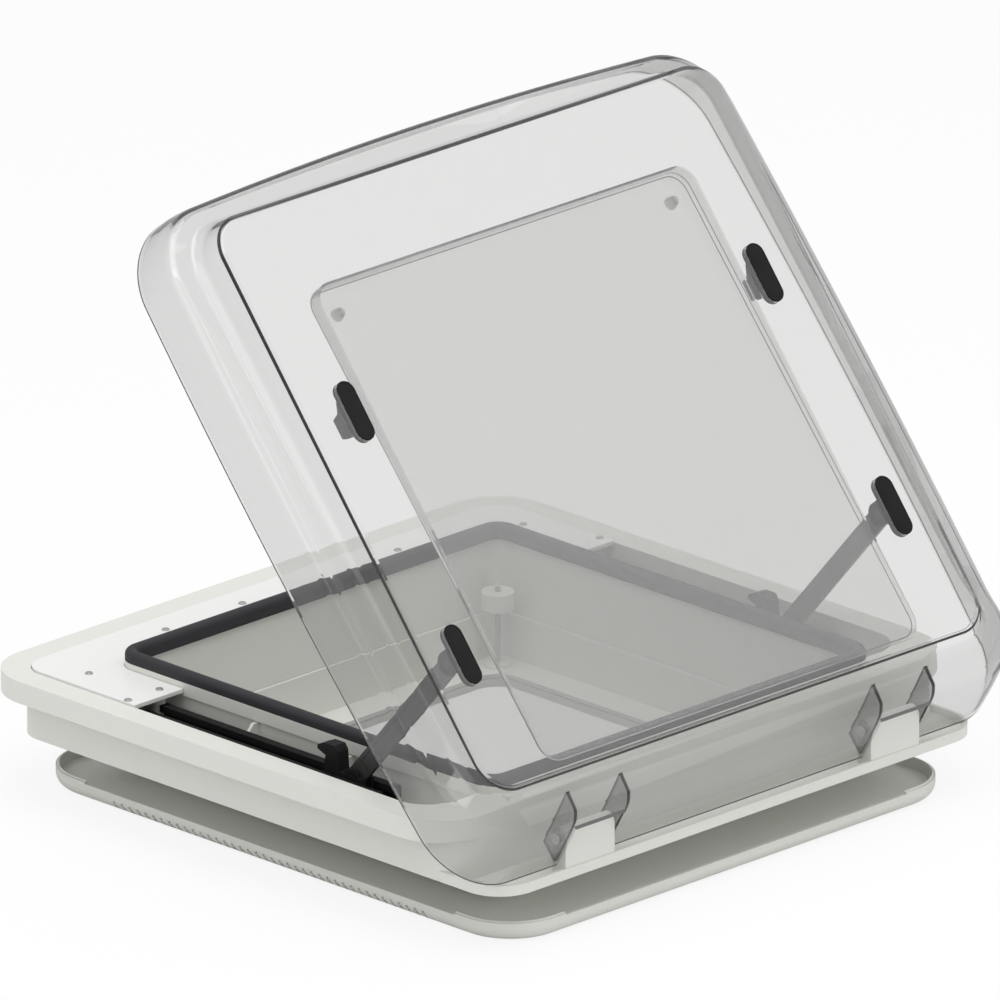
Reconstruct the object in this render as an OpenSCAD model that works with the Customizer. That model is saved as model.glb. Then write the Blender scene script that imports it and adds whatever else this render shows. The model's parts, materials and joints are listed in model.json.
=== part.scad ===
// Caravan roof vent with a hinged clear lid, drawn open

/* [Roof] */
// Thickness of the roof that the vent is clamped to
roof_t = 29; // [26:0.5:34]

/* [Outer frame] */
// Distance from the sleeve to the outer face of the walls beside the rails
channel_w = 54.9; // [52:0.1:58]
// Distance from the sleeve to the outer face of the wall on the free side
band_w = 54.4; // [52:0.1:58]
// Distance from the sleeve to the wall on the hinge side
deck_w = 20.5; // [18:0.5:22]
// Corner radius of the flange
flange_r = 43; // [36:1:48]
// Height of the flange's top above the roof
frame_h = 49; // [47:0.5:51]
// Height of the hanging skirt round the flange
skirt_h = 16.4; // [12:0.2:20]
// Overhang of the flange beyond the lower wall
overhang = 18.6; // [16:0.2:21]
// Wall thickness of the white mouldings
wall = 3; // [2.4:0.1:3.4]
// Height of the side channels' floor above the roof
floor_z = 20; // [18:0.5:22]
// Width of the face that is bedded on the roof
seat_w = 25; // [18:1:32]
// Distance that the deck on the hinge side runs on beside the sleeve
deck_in = 13; // [10:0.5:16]
// Corner radius of the side channels beside the deck
deck_r = 30; // [24:1:34]
// Height of the long step on the deck
deck_step = 1.2; // [0.8:0.1:1.6]
// Distance of the side channels' cross ribs from the centre
rib_y = 48; // [44:1:52]
// Thickness of the cross ribs
rib_t = 2.5; // [2:0.1:3]
// Height of the cross ribs above the rails
rib_rise = 3; // [2:0.2:4]

/* [Sleeve and seal] */
// Outside width of the sleeve
sleeve_w = 380; // [372:1:384]
// Outside length of the sleeve
sleeve_l = 376; // [370:1:380]
// Outside corner radius of the sleeve
sleeve_r = 14; // [11:0.5:20]
// Height of the sleeve's rim above the roof
rim_z = 58; // [57:0.5:59]
// Thickness that the rim's shoulder stands out of the sleeve
shoulder_t = 3; // [2:0.2:4]
// Height of the rim's shoulder
shoulder_h = 10; // [7:0.5:12]
// Width of the rubber seal
seal_w = 9; // [8:0.2:10]
// Depth of the seal's groove over the rim
seal_grip = 3; // [2:0.2:4]
// Depth that the seal's inner leg hangs below the groove
seal_leg = 3.5; // [2:0.1:5]
// Height that the seal's bulb stands above the rim
seal_top = 5.4; // [4.6:0.1:5.6]

/* [Cover plate] */
// Distance that the plate's wings reach along the sleeve
plate_reach = 67; // [62:1:72]
// Thickness of the cover plate
plate_t = 3; // [2.4:0.1:3.4]
// Height that the plate stands above the flange
plate_rise = 1.5; // [1:0.1:1.8]
// Gap round the cover plate
plate_gap = 0.4; // [0.3:0.1:0.8]
// Distance of the plate's inner screws from the middle
screw_in = 40; // [36:1:44]
// Distance of the plate's outer screws from the middle
screw_out = 117; // [112:1:122]
// Diameter of the plate's screw posts
post_d = 9; // [8:0.5:11]
// Diameter of the small screws' shanks
screw_d = 2.8; // [2.4:0.1:3.2]
// Diameter of the small screws' heads
screw_head_d = 6; // [5:0.2:7]
// Height of the small screws' heads
screw_head_h = 1; // [0.8:0.1:1.4]
// Length of the small screws' shanks below the head
screw_l = 12; // [9:0.5:14]
// Gap between a screw's shank and its hole
screw_gap = 0.1; // [0.05:0.05:0.2]

/* [Hinge] */
// Distance of the hinge axis from the wall on the hinge side
hinge_out = 33.5; // [32:0.5:34]
// Height of the hinge axis above the roof
hinge_z = 30; // [29:0.5:31]
// Distance of each knuckle's middle inside the sleeve's side
knuckle_in = 36; // [32:1:44]
// Length of each knuckle
knuckle_l = 49; // [44:0.5:52]
// Radius of the knuckle's round top
knuckle_r = 6.8; // [6.4:0.1:7.5]
// Thickness of the lid's hinge ears
ear_t = 3.2; // [3:0.2:5]
// Gap between a knuckle and each ear
ear_gap = 0.5; // [0.4:0.1:0.8]
// Diameter of the hinge pins
pin_d = 6; // [5:0.2:7]
// Running clearance round a pin
pin_gap = 0.05; // [0.03:0.01:0.08]
// Depth of the gutter from the hinge wall to its outer face
gutter_w = 41; // [40:0.5:43]
// Height of the gutter's outer upstand
gutter_h = 8; // [6:0.2:8.4]
// Radius of the gutter's two corners
gutter_r = 30; // [26:1:34]

/* [Lid] */
// Opening angle of the lid as drawn
open_angle = 50; // [46:1:53]
// Wall thickness of the clear lid
lid_t = 3; // [2.6:0.1:3.2]
// Distance of the top face's sides inside the lid's rim
top_in = 28.7; // [27:0.1:31]
// Distance from the hinge axis to the near edge of the top face
top_near = 34.8; // [32:0.2:37]
// Distance of the top face's free edge inside the lid's rim
top_end = 22; // [20:0.5:25]
// Height of the top face's near edge above the hinge axis
top_near_z = 38.8; // [38.6:0.1:40]
// Height of the top face's free edge above the hinge axis
top_far_z = 51.1; // [49:0.5:54]
// Corner radius of the top face
top_r = 28; // [22:1:34]
// Height of the lid's shoulder above the hinge axis
shoulder_z = 25.2; // [24.8:0.1:26]
// Height that the shoulder rises towards the hinge side
near_lift = 9.5; // [6:0.5:11]
// Height of the hinge notches' upper edge above the hinge axis
notch_z = 19.6; // [18:0.2:21]
// Overhang of the lid's rim beyond the flange's sides
lid_over = 17.5; // [16:0.5:20]
// Distance from the hinge axis back to the rim's near edge
rim_near = 15.5; // [14:0.2:16]
// Overhang of the lid's rim beyond the flange's free edge
lid_end = 10; // [9:0.5:14]
// Depth of the rim below the hinge axis
rim_drop = 14.5; // [13:0.2:15]
// Corner radius of the rim
rim_r = 52; // [46:1:56]
// Outward bow of the rim's two sides
side_bow = 7; // [4:0.5:9]
// Outward bow of the rim's free end
end_bow = 12; // [8:0.5:15]

/* [Second pane] */
// Distance of the second pane's sides inside the sleeve's outer faces
pane_in = 0.5; // [0:0.1:2]
// Distance that the pane reaches beyond the sleeve on the hinge side
pane_start = 10.5; // [8:0.5:11]
// Distance of the pane's free edge inside the sleeve's outer face
pane_end = 6; // [4:0.5:8]
// Corner radius of the pane
pane_r = 16; // [12:1:20]
// Thickness of the pane and its side wall
pane_t = 2; // [1.6:0.1:2.2]
// Gap between the closed pane and the seal
pane_gap = 0.4; // [0.3:0.1:0.7]
// Distance of the breather plugs from the pane's edges
plug_in = 22; // [18:1:30]
// Diameter of the breather plugs
plug_d = 6; // [5:0.2:8]

/* [Arms] */
// Distance of the arms and rails inside the walls' outer faces
rail_out = 27.9; // [26:0.1:30]
// Distance from the hinge axis to the arm brackets
arm_v = 138.5; // [132:0.5:145]
// Depth of the arm's pivot below the lid's top face
arm_drop = 14.4; // [13.6:0.1:15.2]
// Length of an arm between its pivots
arm_l = 146.6; // [142:0.2:150]
// Width of an arm
arm_w = 15; // [12:0.5:15.6]
// Thickness of an arm
arm_t = 4; // [3:0.2:4.4]
// Gap on each side of an arm in its fork
fork_gap = 0.4; // [0.3:0.05:0.6]
// Thickness of a bracket's cheeks
cheek_t = 3; // [2:0.2:4]
// Diameter of the arms' pivot pins
arm_pin_d = 5; // [4:0.2:5.6]
// Distance of the catch brackets inside the arms
catch_in = 11.3; // [10:0.1:13]
// Distance from the hinge axis to the catch brackets
catch_v = 329; // [322:1:336]
// Length of a catch bracket below the lid's wall
catch_l = 20; // [14:0.5:22]

/* [Pads] */
// Length of a pad in the lid's top face
pad_l = 46.5; // [42:0.5:52]
// Width of a pad
pad_w = 16; // [14:0.5:18]
// Gap round a pad in its hole
pad_gap = 0.2; // [0.1:0.05:0.4]
// Height that a pad stands out of the top face
pad_rise = 0.8; // [0.4:0.1:1.2]
// Thickness of a bracket's base under the lid
base_t = 2.5; // [2:0.1:3]

/* [Rails] */
// Width of a rail
rail_w = 26; // [24:0.5:28]
// Height of a rail
rail_h = 21; // [20:0.5:22]
// Wall thickness of a rail
rail_t = 3; // [2.5:0.1:3.5]
// Thickness of a rail's lips
lip_t = 5; // [4.5:0.1:5.2]
// Width of the slot between the lips
slot_w = 12; // [11:0.2:13]
// Distance that the near end of a rail lies behind the open carriage's pivot
rail_tail = 32; // [28:1:38]
// Distance that a rail runs on under the cover plate
rail_under = 6; // [4:0.5:8]
// Distance of a rail's end screws from its ends
rail_screw_in = 8; // [6.5:0.5:10]
// Height of the carriage's pivot above the roof
carriage_z = 42.5; // [42:0.1:43]
// Sideways and lower gap of a carriage in its rail
slide_gap = 0.5; // [0.4:0.05:0.7]
// Height of a carriage's foot
foot_h = 8.4; // [7:0.2:8.6]
// Height of the hook above the carriage's pivot
hook_h = 20; // [15:0.5:22]

/* [Inner frame] */
// Overhang of the inner frame beyond the sleeve's sides
trim_side = 38; // [34:0.5:42]
// Overhang of the inner frame beyond the sleeve's two ends
trim_end = 55; // [50:0.5:58]
// Corner radius of the inner frame
trim_r = 45; // [40:1:50]
// Depth of the inner frame below the ceiling
trim_h = 14; // [13:0.5:18]
// Depth that the wall's sides stay below its corners
trim_step = 1.2; // [0.8:0.1:2]
// Radius of the inner frame's lower edge
trim_edge = 9; // [6:0.5:10]
// Wall thickness of the inner frame
trim_t = 2.5; // [2:0.1:3]
// Distance of the inner frame's opening inside the sleeve's outer faces
mouth_in = 38; // [34:0.5:42]
// Corner radius of the opening
mouth_r = 20; // [16:1:24]
// Height of the screen's ledge above the inner frame's lower face
ledge_h = 6; // [5.5:0.1:8]
// Gap between the inner frame's collar and the sleeve
collar_gap = 0.5; // [0.4:0.1:1]
// Distance of the collar's top below the roof's outer face
collar_top = 3; // [2:0.5:6]
// Number of ventilation slots on each side
slots = 40; // [30:1:46]
// Pitch of the ventilation slots
slot_pitch = 8; // [7.5:0.1:8.5]

/* [Clamp screws and screen] */
// Diameter of the clamp screws
clamp_d = 4.2; // [3.6:0.1:4.8]
// Diameter of the outer frame's clamp bosses
boss_d = 24; // [20:0.5:26]
// Height of the clamp bosses' lower face above the roof
boss_z = 7; // [5:0.5:9]
// Height of the clamp bosses
boss_h = 13; // [10:0.5:16]
// Distance of the clamp bosses from the sleeve's inner faces
boss_in = 21; // [19:0.5:23]
// Diameter of the screw caps
cap_d = 14; // [12:0.5:15]
// Thickness of the screw caps
cap_t = 2; // [1.6:0.1:2.4]
// Depth of the clamp screws' seats behind the caps
seat_in = 4; // [3.5:0.1:5]
// Width of the fly screen's border beyond the opening
screen_lap = 5; // [4:0.5:6]
// Thickness of the fly screen
screen_t = 1.2; // [1:0.1:1.6]

/* [Hidden] */
$fn = 64;

frame_white = "#e9e8e1";
seal_black = "#2b2b2c";
part_black = "#1e1e1f";
arm_grey = "#3f3f41";
clear_grey = [0.72, 0.73, 0.75, 0.35];
screw_grey = "#b9b9b6";
screen_grey = "#8d8d8a";

// A cut that runs through a wall starts and ends this far outside it
cut = 1;
sleeve_x = sleeve_w / 2;
sleeve_y = sleeve_l / 2;
wall_x = sleeve_x + channel_w;
wall_far = sleeve_y + band_w;
wall_r = flange_r - overhang;
flange_x = wall_x + overhang;
flange_far = wall_far + overhang;
flange_near = sleeve_y + deck_w;
deck_y = sleeve_y - deck_in;
plate_end = sleeve_y - plate_reach;
hinge_y = -flange_near - hinge_out;
knuckle_x = sleeve_x - knuckle_in;
rim_x = flange_x + lid_over;
rim_far = flange_far - hinge_y + lid_end;
top_x = rim_x - top_in;
top_far = rim_far - top_end;
pane_x = sleeve_x - pane_in;
pane_near = -hinge_y - sleeve_y - pane_start;
pane_far = sleeve_y - hinge_y - pane_end;
plug_x = pane_x - plug_in;
plug_v = pane_far - plug_in;
arm_x = wall_x - rail_out;
catch_x = arm_x - catch_in;
trim_x = sleeve_x + trim_side;
trim_y = sleeve_y + trim_end;
mouth_x = sleeve_x - mouth_in;
mouth_y = sleeve_y - mouth_in;
plate_z = frame_h + plate_rise - plate_t;
seal_z = rim_z + seal_top;
sleeve_z = -roof_t + wall;

// Tilt of the lid's top face and height of that face over the hinge axis
tilt = atan2(top_far_z - top_near_z, top_far - top_near);
function top_w(v) = top_near_z + (v - top_near) * tan(tilt);
function swing(v, w, a) = [hinge_y + v * cos(a) - w * sin(a), hinge_z + v * sin(a) + w * cos(a)];

// Places of an arm's two pivots in the drawn position
arm_pivot_v = arm_v + arm_drop * sin(tilt);
arm_pivot_w = top_w(arm_v) - arm_drop * cos(tilt);
arm_top = swing(arm_pivot_v, arm_pivot_w, open_angle);
arm_angle = asin((arm_top[1] - carriage_z) / arm_l);
carriage_y = arm_top[0] + arm_l * cos(arm_angle);
arm_top_shut = swing(arm_pivot_v, arm_pivot_w, 0);
arm_angle_shut = asin((arm_top_shut[1] - carriage_z) / arm_l);
echo(hinge_pos = [0, hinge_y, hinge_z], arm_pos = arm_top, carriage_pos = [carriage_y, carriage_z]);
echo(arm_ratio = (arm_angle - arm_angle_shut) / open_angle);

rail_near = carriage_y - rail_tail;
rail_far = plate_end + rail_under;
rail_top = floor_z + rail_h;
pane_w = seal_z + pane_gap - hinge_z;
ear_x = knuckle_l / 2 + ear_gap;
trim_z = -roof_t - trim_h;
ledge_z = trim_z + ledge_h;
boss_x = sleeve_x - wall - boss_in;
boss_y = sleeve_y - wall - boss_in;
collar_x = sleeve_x - wall - collar_gap;
collar_y = sleeve_y - wall - collar_gap;

// Screw places on the cover plate, as distances from the middle and from the centre
band_y = (sleeve_y + shoulder_t + wall_far) / 2;
wing_x = (sleeve_x + shoulder_t + wall_x) / 2;
plate_screw_places = concat(
    [for (s = [-1, 1], x = [screw_in, screw_out]) [s * x, band_y]],
    [for (s = [-1, 1]) [s * wing_x, sleeve_y + shoulder_t]],
    [for (s = [-1, 1], x = [sleeve_x + shoulder_t + 1.5 * post_d, wall_x - wall - post_d / 2 + plate_gap])
        [s * x, rail_far + post_d / 2 + plate_gap]]
);
rail_screw_y = [rail_near + rail_screw_in, rail_far - 3 * rail_screw_in, rail_far - rail_screw_in];
rail_screw_places = [for (s = [-1, 1], y = rail_screw_y) [s * arm_x, y]];
pad_places = [[catch_x, catch_v], [arm_x, arm_v]];
clamp_places = [for (x = [-1, 1], y = [-1, 1]) [x * boss_x, y * boss_y]];

// Outline of a plate with round corners, drawn in by a distance
module plate2d(x, y0, y1, r, in = 0) {
    q = max(r - in, 1);
    translate([-x + in + q, y0 + in]) square([2 * (x - in - q), y1 - y0 - 2 * in]);
    translate([-x + in, y0 + in + q]) square([2 * (x - in), y1 - y0 - 2 * (in + q)]);
    for (px = [-x + in + q, x - in - q], py = [y0 + in + q, y1 - in - q]) translate([px, py]) circle(q);
}
module flange2d(in = 0) { plate2d(flange_x, -flange_near, flange_far, flange_r, in); }
module wall2d(in = 0) { plate2d(wall_x, -flange_near, wall_far, wall_r, in); }
module sleeve2d(in = 0) { plate2d(sleeve_x, -sleeve_y, sleeve_y, sleeve_r, in); }
module trim2d(in = 0) { plate2d(trim_x, -trim_y, trim_y, trim_r, in); }
// Opening over the side channels, past the deck
module channel2d(in = 0) { plate2d(wall_x - wall, -deck_y, flange_far, deck_r, in); }
module collar2d(in = 0) { plate2d(collar_x, -collar_y, collar_y, sleeve_r - wall - collar_gap, in); }
module mouth2d(in = 0) { plate2d(mouth_x, -mouth_y, mouth_y, mouth_r, in); }

module slab(z0, z1) { translate([0, 0, z0]) linear_extrude(z1 - z0) children(); }
module ring(z0, z1) {
    slab(z0, z1) difference() {
        children(0);
        children(1);
    }
}

// Carries a profile round a rectangle with round corners; the profile's x runs outwards
module round_sweep(x, y0, y1, r) {
    for (s = [-1, 1]) {
        translate([s * x, s > 0 ? y0 + r : y1 - r, 0]) rotate([90, 0, s > 0 ? 0 : 180]) mirror([0, 0, 1])
            linear_extrude(y1 - y0 - 2 * r) children();
        translate([s > 0 ? x - r : -x + r, s > 0 ? y1 : y0, 0]) rotate([90, 0, s > 0 ? 90 : -90])
            mirror([0, 0, 1]) linear_extrude(2 * (x - r)) children();
    }
    for (c = [[x - r, y1 - r, 0], [-x + r, y1 - r, 90], [-x + r, y0 + r, 180], [x - r, y0 + r, 270]])
        translate([c[0], c[1], 0]) rotate([0, 0, c[2]])
            rotate_extrude(angle = 90) translate([r, 0]) children();
}

// A cylinder along X, centred
module bar_x(d, l) { rotate([0, 90, 0]) cylinder(d = d, h = l, center = true); }
// Flat bar with a round end, in the plane across X, running along +Y
module strap(l, w, t) {
    bar_x(w, t);
    translate([0, l, 0]) bar_x(w, t);
    translate([-t / 2, 0, -w / 2]) cube([t, l, w]);
}
// Pill-shaped slab along Y, from z0 to z1
module pill(l, w, z0, z1) {
    for (s = [-1, 1]) translate([0, s * (l - w) / 2, z0]) cylinder(d = w, h = z1 - z0);
    translate([-w / 2, -(l - w) / 2, z0]) cube([w, l - w, z1 - z0]);
}
module small_screw(z) {
    translate([0, 0, z]) cylinder(d1 = screw_head_d, d2 = screw_head_d * 0.8, h = screw_head_h);
    translate([0, 0, z - screw_l]) cylinder(d = screw_d, h = screw_l);
}
module at_places(places) { for (p = places) translate([p[0], p[1], 0]) children(); }
module screw_hole(z0, z1) { translate([0, 0, z0]) cylinder(d = screw_d + 2 * screw_gap, h = z1 - z0); }

// Turns what is drawn round the hinge axis into the open position
module lid_place() { translate([0, hinge_y, hinge_z]) rotate([open_angle, 0, 0]) children(); }
// A place on the lid's top face, with z along its normal
module on_top(x, v) { lid_place() translate([x, v, top_w(v)]) rotate([tilt, 0, 0]) children(); }

module knuckle() {
    difference() {
        union() {
            bar_x(2 * knuckle_r, knuckle_l);
            translate([-knuckle_l / 2, -knuckle_r, -hinge_z]) cube([knuckle_l, 2 * knuckle_r, hinge_z]);
        }
        bar_x(pin_d + 2 * pin_gap, knuckle_l + 2 * cut);
    }
}

// Gutter along the hinge: a tray that carries on the lower wall's outline
module gutter2d(in = 0) {
    before(-sleeve_y - wall / 2) plate2d(wall_x, -flange_near - gutter_w, wall_far, gutter_r, in);
}
module gutter() {
    slab(0, wall) gutter2d();
    ring(0, gutter_h) { gutter2d(); gutter2d(wall); }
}

// Cross rib in a side channel, from the sleeve to the rail, with a bevelled top
module channel_rib(y, s) {
    x0 = sleeve_x - wall / 2;
    x1 = arm_x - rail_w / 2;
    top = rail_top + rib_rise;
    mirror([s < 0 ? 1 : 0, 0, 0]) translate([0, y + rib_t / 2, 0]) rotate([90, 0, 0]) linear_extrude(rib_t)
        polygon([[x0, floor_z - wall / 2], [x1, floor_z - wall / 2], [x1, top - 3 * rib_rise],
            [(x0 + x1) / 2, top], [x0, top]]);
}

// Clamp boss on a web that runs to the sleeve's corner
module clamp_boss(p) {
    translate([p[0], p[1], boss_z]) cylinder(d = boss_d, h = boss_h);
    intersection() {
        slab(boss_z, boss_z + boss_h - wall) sleeve2d(wall / 2);
        translate([p[0], p[1], boss_z]) rotate([0, 0, atan2(p[1], p[0])]) translate([0, -wall / 2, 0])
            cube([2 * boss_in, wall, boss_h]);
    }
}

// What lies past a line across the frame, and what lies short of it
module behind(y) {
    intersection() {
        children();
        translate([-flange_x, y]) square([2 * flange_x, 2 * flange_far]);
    }
}
module before(y) {
    intersection() {
        children();
        translate([-flange_x, y - flange_far]) square([2 * flange_x, flange_far]);
    }
}

// Side channels with the wall that closes them under the deck
module channel_end2d() { intersection() { channel2d(-wall); wall2d(wall / 2); } }

module outer_frame() {
    color(frame_white) {
        difference() {
            union() {
                ring(frame_h - wall, frame_h) { flange2d(); wall2d(wall); }
                ring(frame_h - skirt_h, frame_h - wall / 2) { flange2d(); flange2d(wall); }
                ring(0, frame_h - wall / 2) { wall2d(); wall2d(wall); }
                ring(0, wall) { wall2d(wall / 2); wall2d(seat_w); }
                ring(floor_z - wall, floor_z) { channel_end2d(); sleeve2d(wall / 2); }
                ring(floor_z - wall / 2, frame_h - wall / 2) {
                    channel_end2d();
                    union() { channel2d(); sleeve2d(wall / 2); }
                }
                ring(frame_h - wall, frame_h) {
                    wall2d(wall / 2);
                    union() { channel2d(); sleeve2d(wall / 2); }
                }
                translate([-sleeve_x, -flange_near + 2 * wall, frame_h - wall])
                    cube([sleeve_w, deck_w / 3, wall + deck_step]);
                ring(sleeve_z, rim_z) { sleeve2d(); sleeve2d(wall); }
                ring(rim_z - seal_grip - shoulder_h, rim_z - seal_grip) {
                    sleeve2d(-shoulder_t);
                    sleeve2d(wall / 2);
                }
                gutter();
                for (s = [-1, 1]) translate([s * knuckle_x, hinge_y, hinge_z]) knuckle();
                for (s = [-1, 1], y = [rib_y, -rib_y]) channel_rib(y, s);
                for (p = clamp_places) clamp_boss(p);
                for (p = plate_screw_places) translate([p[0], p[1], floor_z - wall / 2])
                    cylinder(d = post_d, h = plate_z - floor_z + wall / 2);
            }
            at_places(plate_screw_places) screw_hole(plate_z - screw_l, plate_z + cut);
            at_places(rail_screw_places) screw_hole(floor_z - wall - cut, floor_z + cut);
            for (p = clamp_places) translate([p[0], p[1], boss_z - cut])
                cylinder(d = clamp_d + 2 * screw_gap, h = boss_h + 2 * cut);
        }
    }
}

module cover_plate() {
    color(frame_white) difference() {
        slab(plate_z, plate_z + plate_t) difference() {
            behind(plate_end) wall2d(wall + plate_gap);
            sleeve2d(-shoulder_t - plate_gap);
        }
        at_places(plate_screw_places) screw_hole(plate_z - cut, plate_z + plate_t + cut);
    }
}

module plate_screws() {
    color(screw_grey) at_places(plate_screw_places) small_screw(plate_z + plate_t);
}

// Seal profile: a round bulb over a foot grooved for the rim; x runs out from the sleeve's outer face
module seal2d() {
    out = shoulder_t;
    foot_z = rim_z - seal_grip;
    difference() {
        union() {
            translate([out - seal_w, foot_z]) square([seal_w, seal_grip + seal_top - seal_w / 2]);
            translate([out - seal_w / 2, seal_z - seal_w / 2]) circle(d = seal_w);
        }
        translate([-wall, foot_z - cut]) square([wall, seal_grip + cut]);
        translate([out - 1.5 * seal_w, foot_z - seal_w]) square([2 * seal_w, seal_w]);
    }
    translate([out - seal_w, foot_z - seal_leg]) square([seal_w - out - wall, seal_leg + cut]);
}
module gasket() { color(seal_black) round_sweep(sleeve_x, -sleeve_y, sleeve_y, sleeve_r) seal2d(); }

module rail() {
    color(part_black) difference() {
        translate([-rail_w / 2, rail_near, floor_z]) cube([rail_w, rail_far - rail_near, rail_h]);
        translate([-rail_w / 2 + rail_t, rail_near - cut, floor_z + rail_t])
            cube([rail_w - 2 * rail_t, rail_far - rail_near + 2 * cut, rail_h - rail_t - lip_t]);
        translate([-slot_w / 2, rail_near - cut, floor_z + rail_t])
            cube([slot_w, rail_far - rail_near + 2 * cut, rail_h]);
        for (y = rail_screw_y) translate([0, y, 0]) screw_hole(floor_z - cut, floor_z + rail_t + cut);
    }
}
module rail_left() { translate([-arm_x, 0, 0]) rail(); }
module rail_right() { translate([arm_x, 0, 0]) rail(); }
module rail_screws() {
    color(screw_grey) at_places(rail_screw_places) small_screw(floor_z + rail_t);
}

// Carriage round its pivot: a foot in the rail, a neck through the slot, a fork for the arm and a hook
module carriage() {
    back = 12;
    fork_y = 10;
    front = 28;
    neck_w = slot_w - 2 * slide_gap;
    foot_w = rail_w - 2 * rail_t - 2 * slide_gap;
    foot_z = floor_z + rail_t + slide_gap - carriage_z;
    head_z = rail_top + slide_gap + 3 - carriage_z;
    color(part_black) difference() {
        union() {
            translate([-foot_w / 2, -back, foot_z]) cube([foot_w, back + front, foot_h]);
            translate([-neck_w / 2, -back, foot_z + foot_h / 2])
                cube([neck_w, back + front, head_z - foot_z - foot_h / 2]);
            bar_x(arm_w - 1, neck_w);
            rotate([90, 0, 90]) linear_extrude(neck_w, center = true) polygon([
                [fork_y + 3, head_z - 1], [front, head_z - 1], [front - 2, hook_h - 9],
                [front + 6, hook_h - 6], [front + 6, hook_h - 3], [front - 1, hook_h],
                [fork_y + 7, hook_h], [fork_y + 4, hook_h - 4]
            ]);
        }
        translate([-arm_t / 2 - fork_gap, -back - cut, -arm_w / 2 - fork_gap])
            cube([arm_t + 2 * fork_gap, back + fork_y + cut, hook_h + arm_w]);
        bar_x(arm_pin_d + pin_gap, slot_w);
    }
}
module carriage_at(s) { translate([s * arm_x, carriage_y, carriage_z]) children(); }
module carriage_left() { carriage_at(-1) carriage(); }
module carriage_right() { carriage_at(1) carriage(); }
module carriage_pin() { color(screw_grey) bar_x(arm_pin_d, slot_w - 2 * slide_gap); }
module carriage_pin_left() { carriage_at(-1) carriage_pin(); }
module carriage_pin_right() { carriage_at(1) carriage_pin(); }

module arm(s) {
    sink = 0.5;
    edge = 3;
    color(arm_grey) translate([s * arm_x, arm_top[0], arm_top[1]]) rotate([-arm_angle, 0, 0]) difference() {
        strap(arm_l, arm_w, arm_t);
        for (y = [0, arm_l]) translate([0, y, 0]) bar_x(arm_pin_d + 2 * pin_gap, arm_t + 2 * cut);
        for (d = [-1, 1]) translate([d * arm_t / 2 - sink, arm_w, -arm_w / 2 + edge])
            cube([2 * sink, arm_l - 2 * arm_w, arm_w - 2 * edge]);
    }
}
module arm_left() { arm(-1); }
module arm_right() { arm(1); }

// Lid profile from the top face to the rim: half width, near edge, free edge, corner radius, height,
// share of the top face's rise, share of the rim's bow and share of the lift on the hinge side
lid_profile = [
    [top_x - 2.8, top_near + 2.8, top_far - 2.8, top_r - 2.8, top_near_z, 1, 0, 0],
    [top_x, top_near, top_far, top_r, top_near_z - 1.7, 1, 0, 0],
    [top_x + 3.2, top_near - 8, top_far + 3, top_r + 3, shoulder_z + 3.2, 0.12, 0.1, 0.8],
    [top_x + 7, top_near - 14, top_far + 6.5, top_r + 6, shoulder_z, 0, 0.2, 1],
    [rim_x - 7, 22 - rim_near, rim_far - 6, rim_r - 7, shoulder_z - 1.5, 0, 0.5, 1],
    [rim_x - 2, 15.5 - rim_near, rim_far - 2.5, rim_r - 3, shoulder_z - 5.7, 0, 0.7, 0.85],
    [rim_x - 0.5, 7.5 - rim_near, rim_far - 0.5, rim_r - 1, shoulder_z - 23, 0, 0.9, 0.6],
    [rim_x, -rim_near, rim_far, rim_r, -rim_drop, 0, 1, 0]
];
// Share of the lid's length on the hinge side over which the lift fades in
lift_share = 0.25;
function lift_at(t) = let (s = max(0, (lift_share - 1 - t) / lift_share)) near_lift * s * s * (3 - 2 * s);
lid_last = len(lid_profile) - 1;
// Normal of the profile at one of its points, in the plane of width and height
function lid_dir(k) = let (a = lid_profile[max(k - 1, 0)], b = lid_profile[min(k + 1, lid_last)])
    [b[4] - a[4] + (b[5] - a[5]) * (top_far_z - top_near_z) / 2, b[0] - a[0]];
function lid_normal(k) = k == 0 ? [0, 1] : k == lid_last ? [1, 0]
    : let (d = lid_dir(k)) [-d[0], d[1]] / norm(d);
function lid_inner(k) = let (p = lid_profile[k], n = lid_normal(k) * lid_t)
    [p[0] - n[0], p[1] + n[0], p[2] - n[0], p[3] - n[0], p[4] - n[1], p[5], p[6], p[7]];

corner_steps = 6;
side_steps = 6;
// One ring of the lid: round corners joined by sides that bow outwards
function lid_ring(p) = let (x = p[0] - p[3], v0 = p[1] + p[3], v1 = p[2] - p[3], mid = (p[1] + p[2]) / 2,
    half = (p[2] - p[1]) / 2, c = [[x, v1], [-x, v1], [-x, v0], [x, v0]],
    flat = [for (i = [0 : 3]) each concat(
        [for (j = [0 : corner_steps]) let (a = 90 * i + 90 * j / corner_steps)
            c[i] + p[3] * [cos(a), sin(a)]],
        [for (j = [1 : side_steps - 1]) let (a = 90 * (i + 1), e = c[i] + p[3] * [cos(a), sin(a)],
            f = c[(i + 1) % 4] + p[3] * [cos(a), sin(a)]) e + (f - e) * j / side_steps])])
    [for (q = flat) let (t = (q[1] - mid) / half, u = q[0] / p[0],
        v = q[1] + p[6] * end_bow * (1 - u * u) * max(t, 0))
        [q[0] + p[6] * side_bow * u * (1 - t * t), v,
            p[4] + p[5] * (v - top_near) * tan(tilt) + p[7] * lift_at(t)]];

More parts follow.
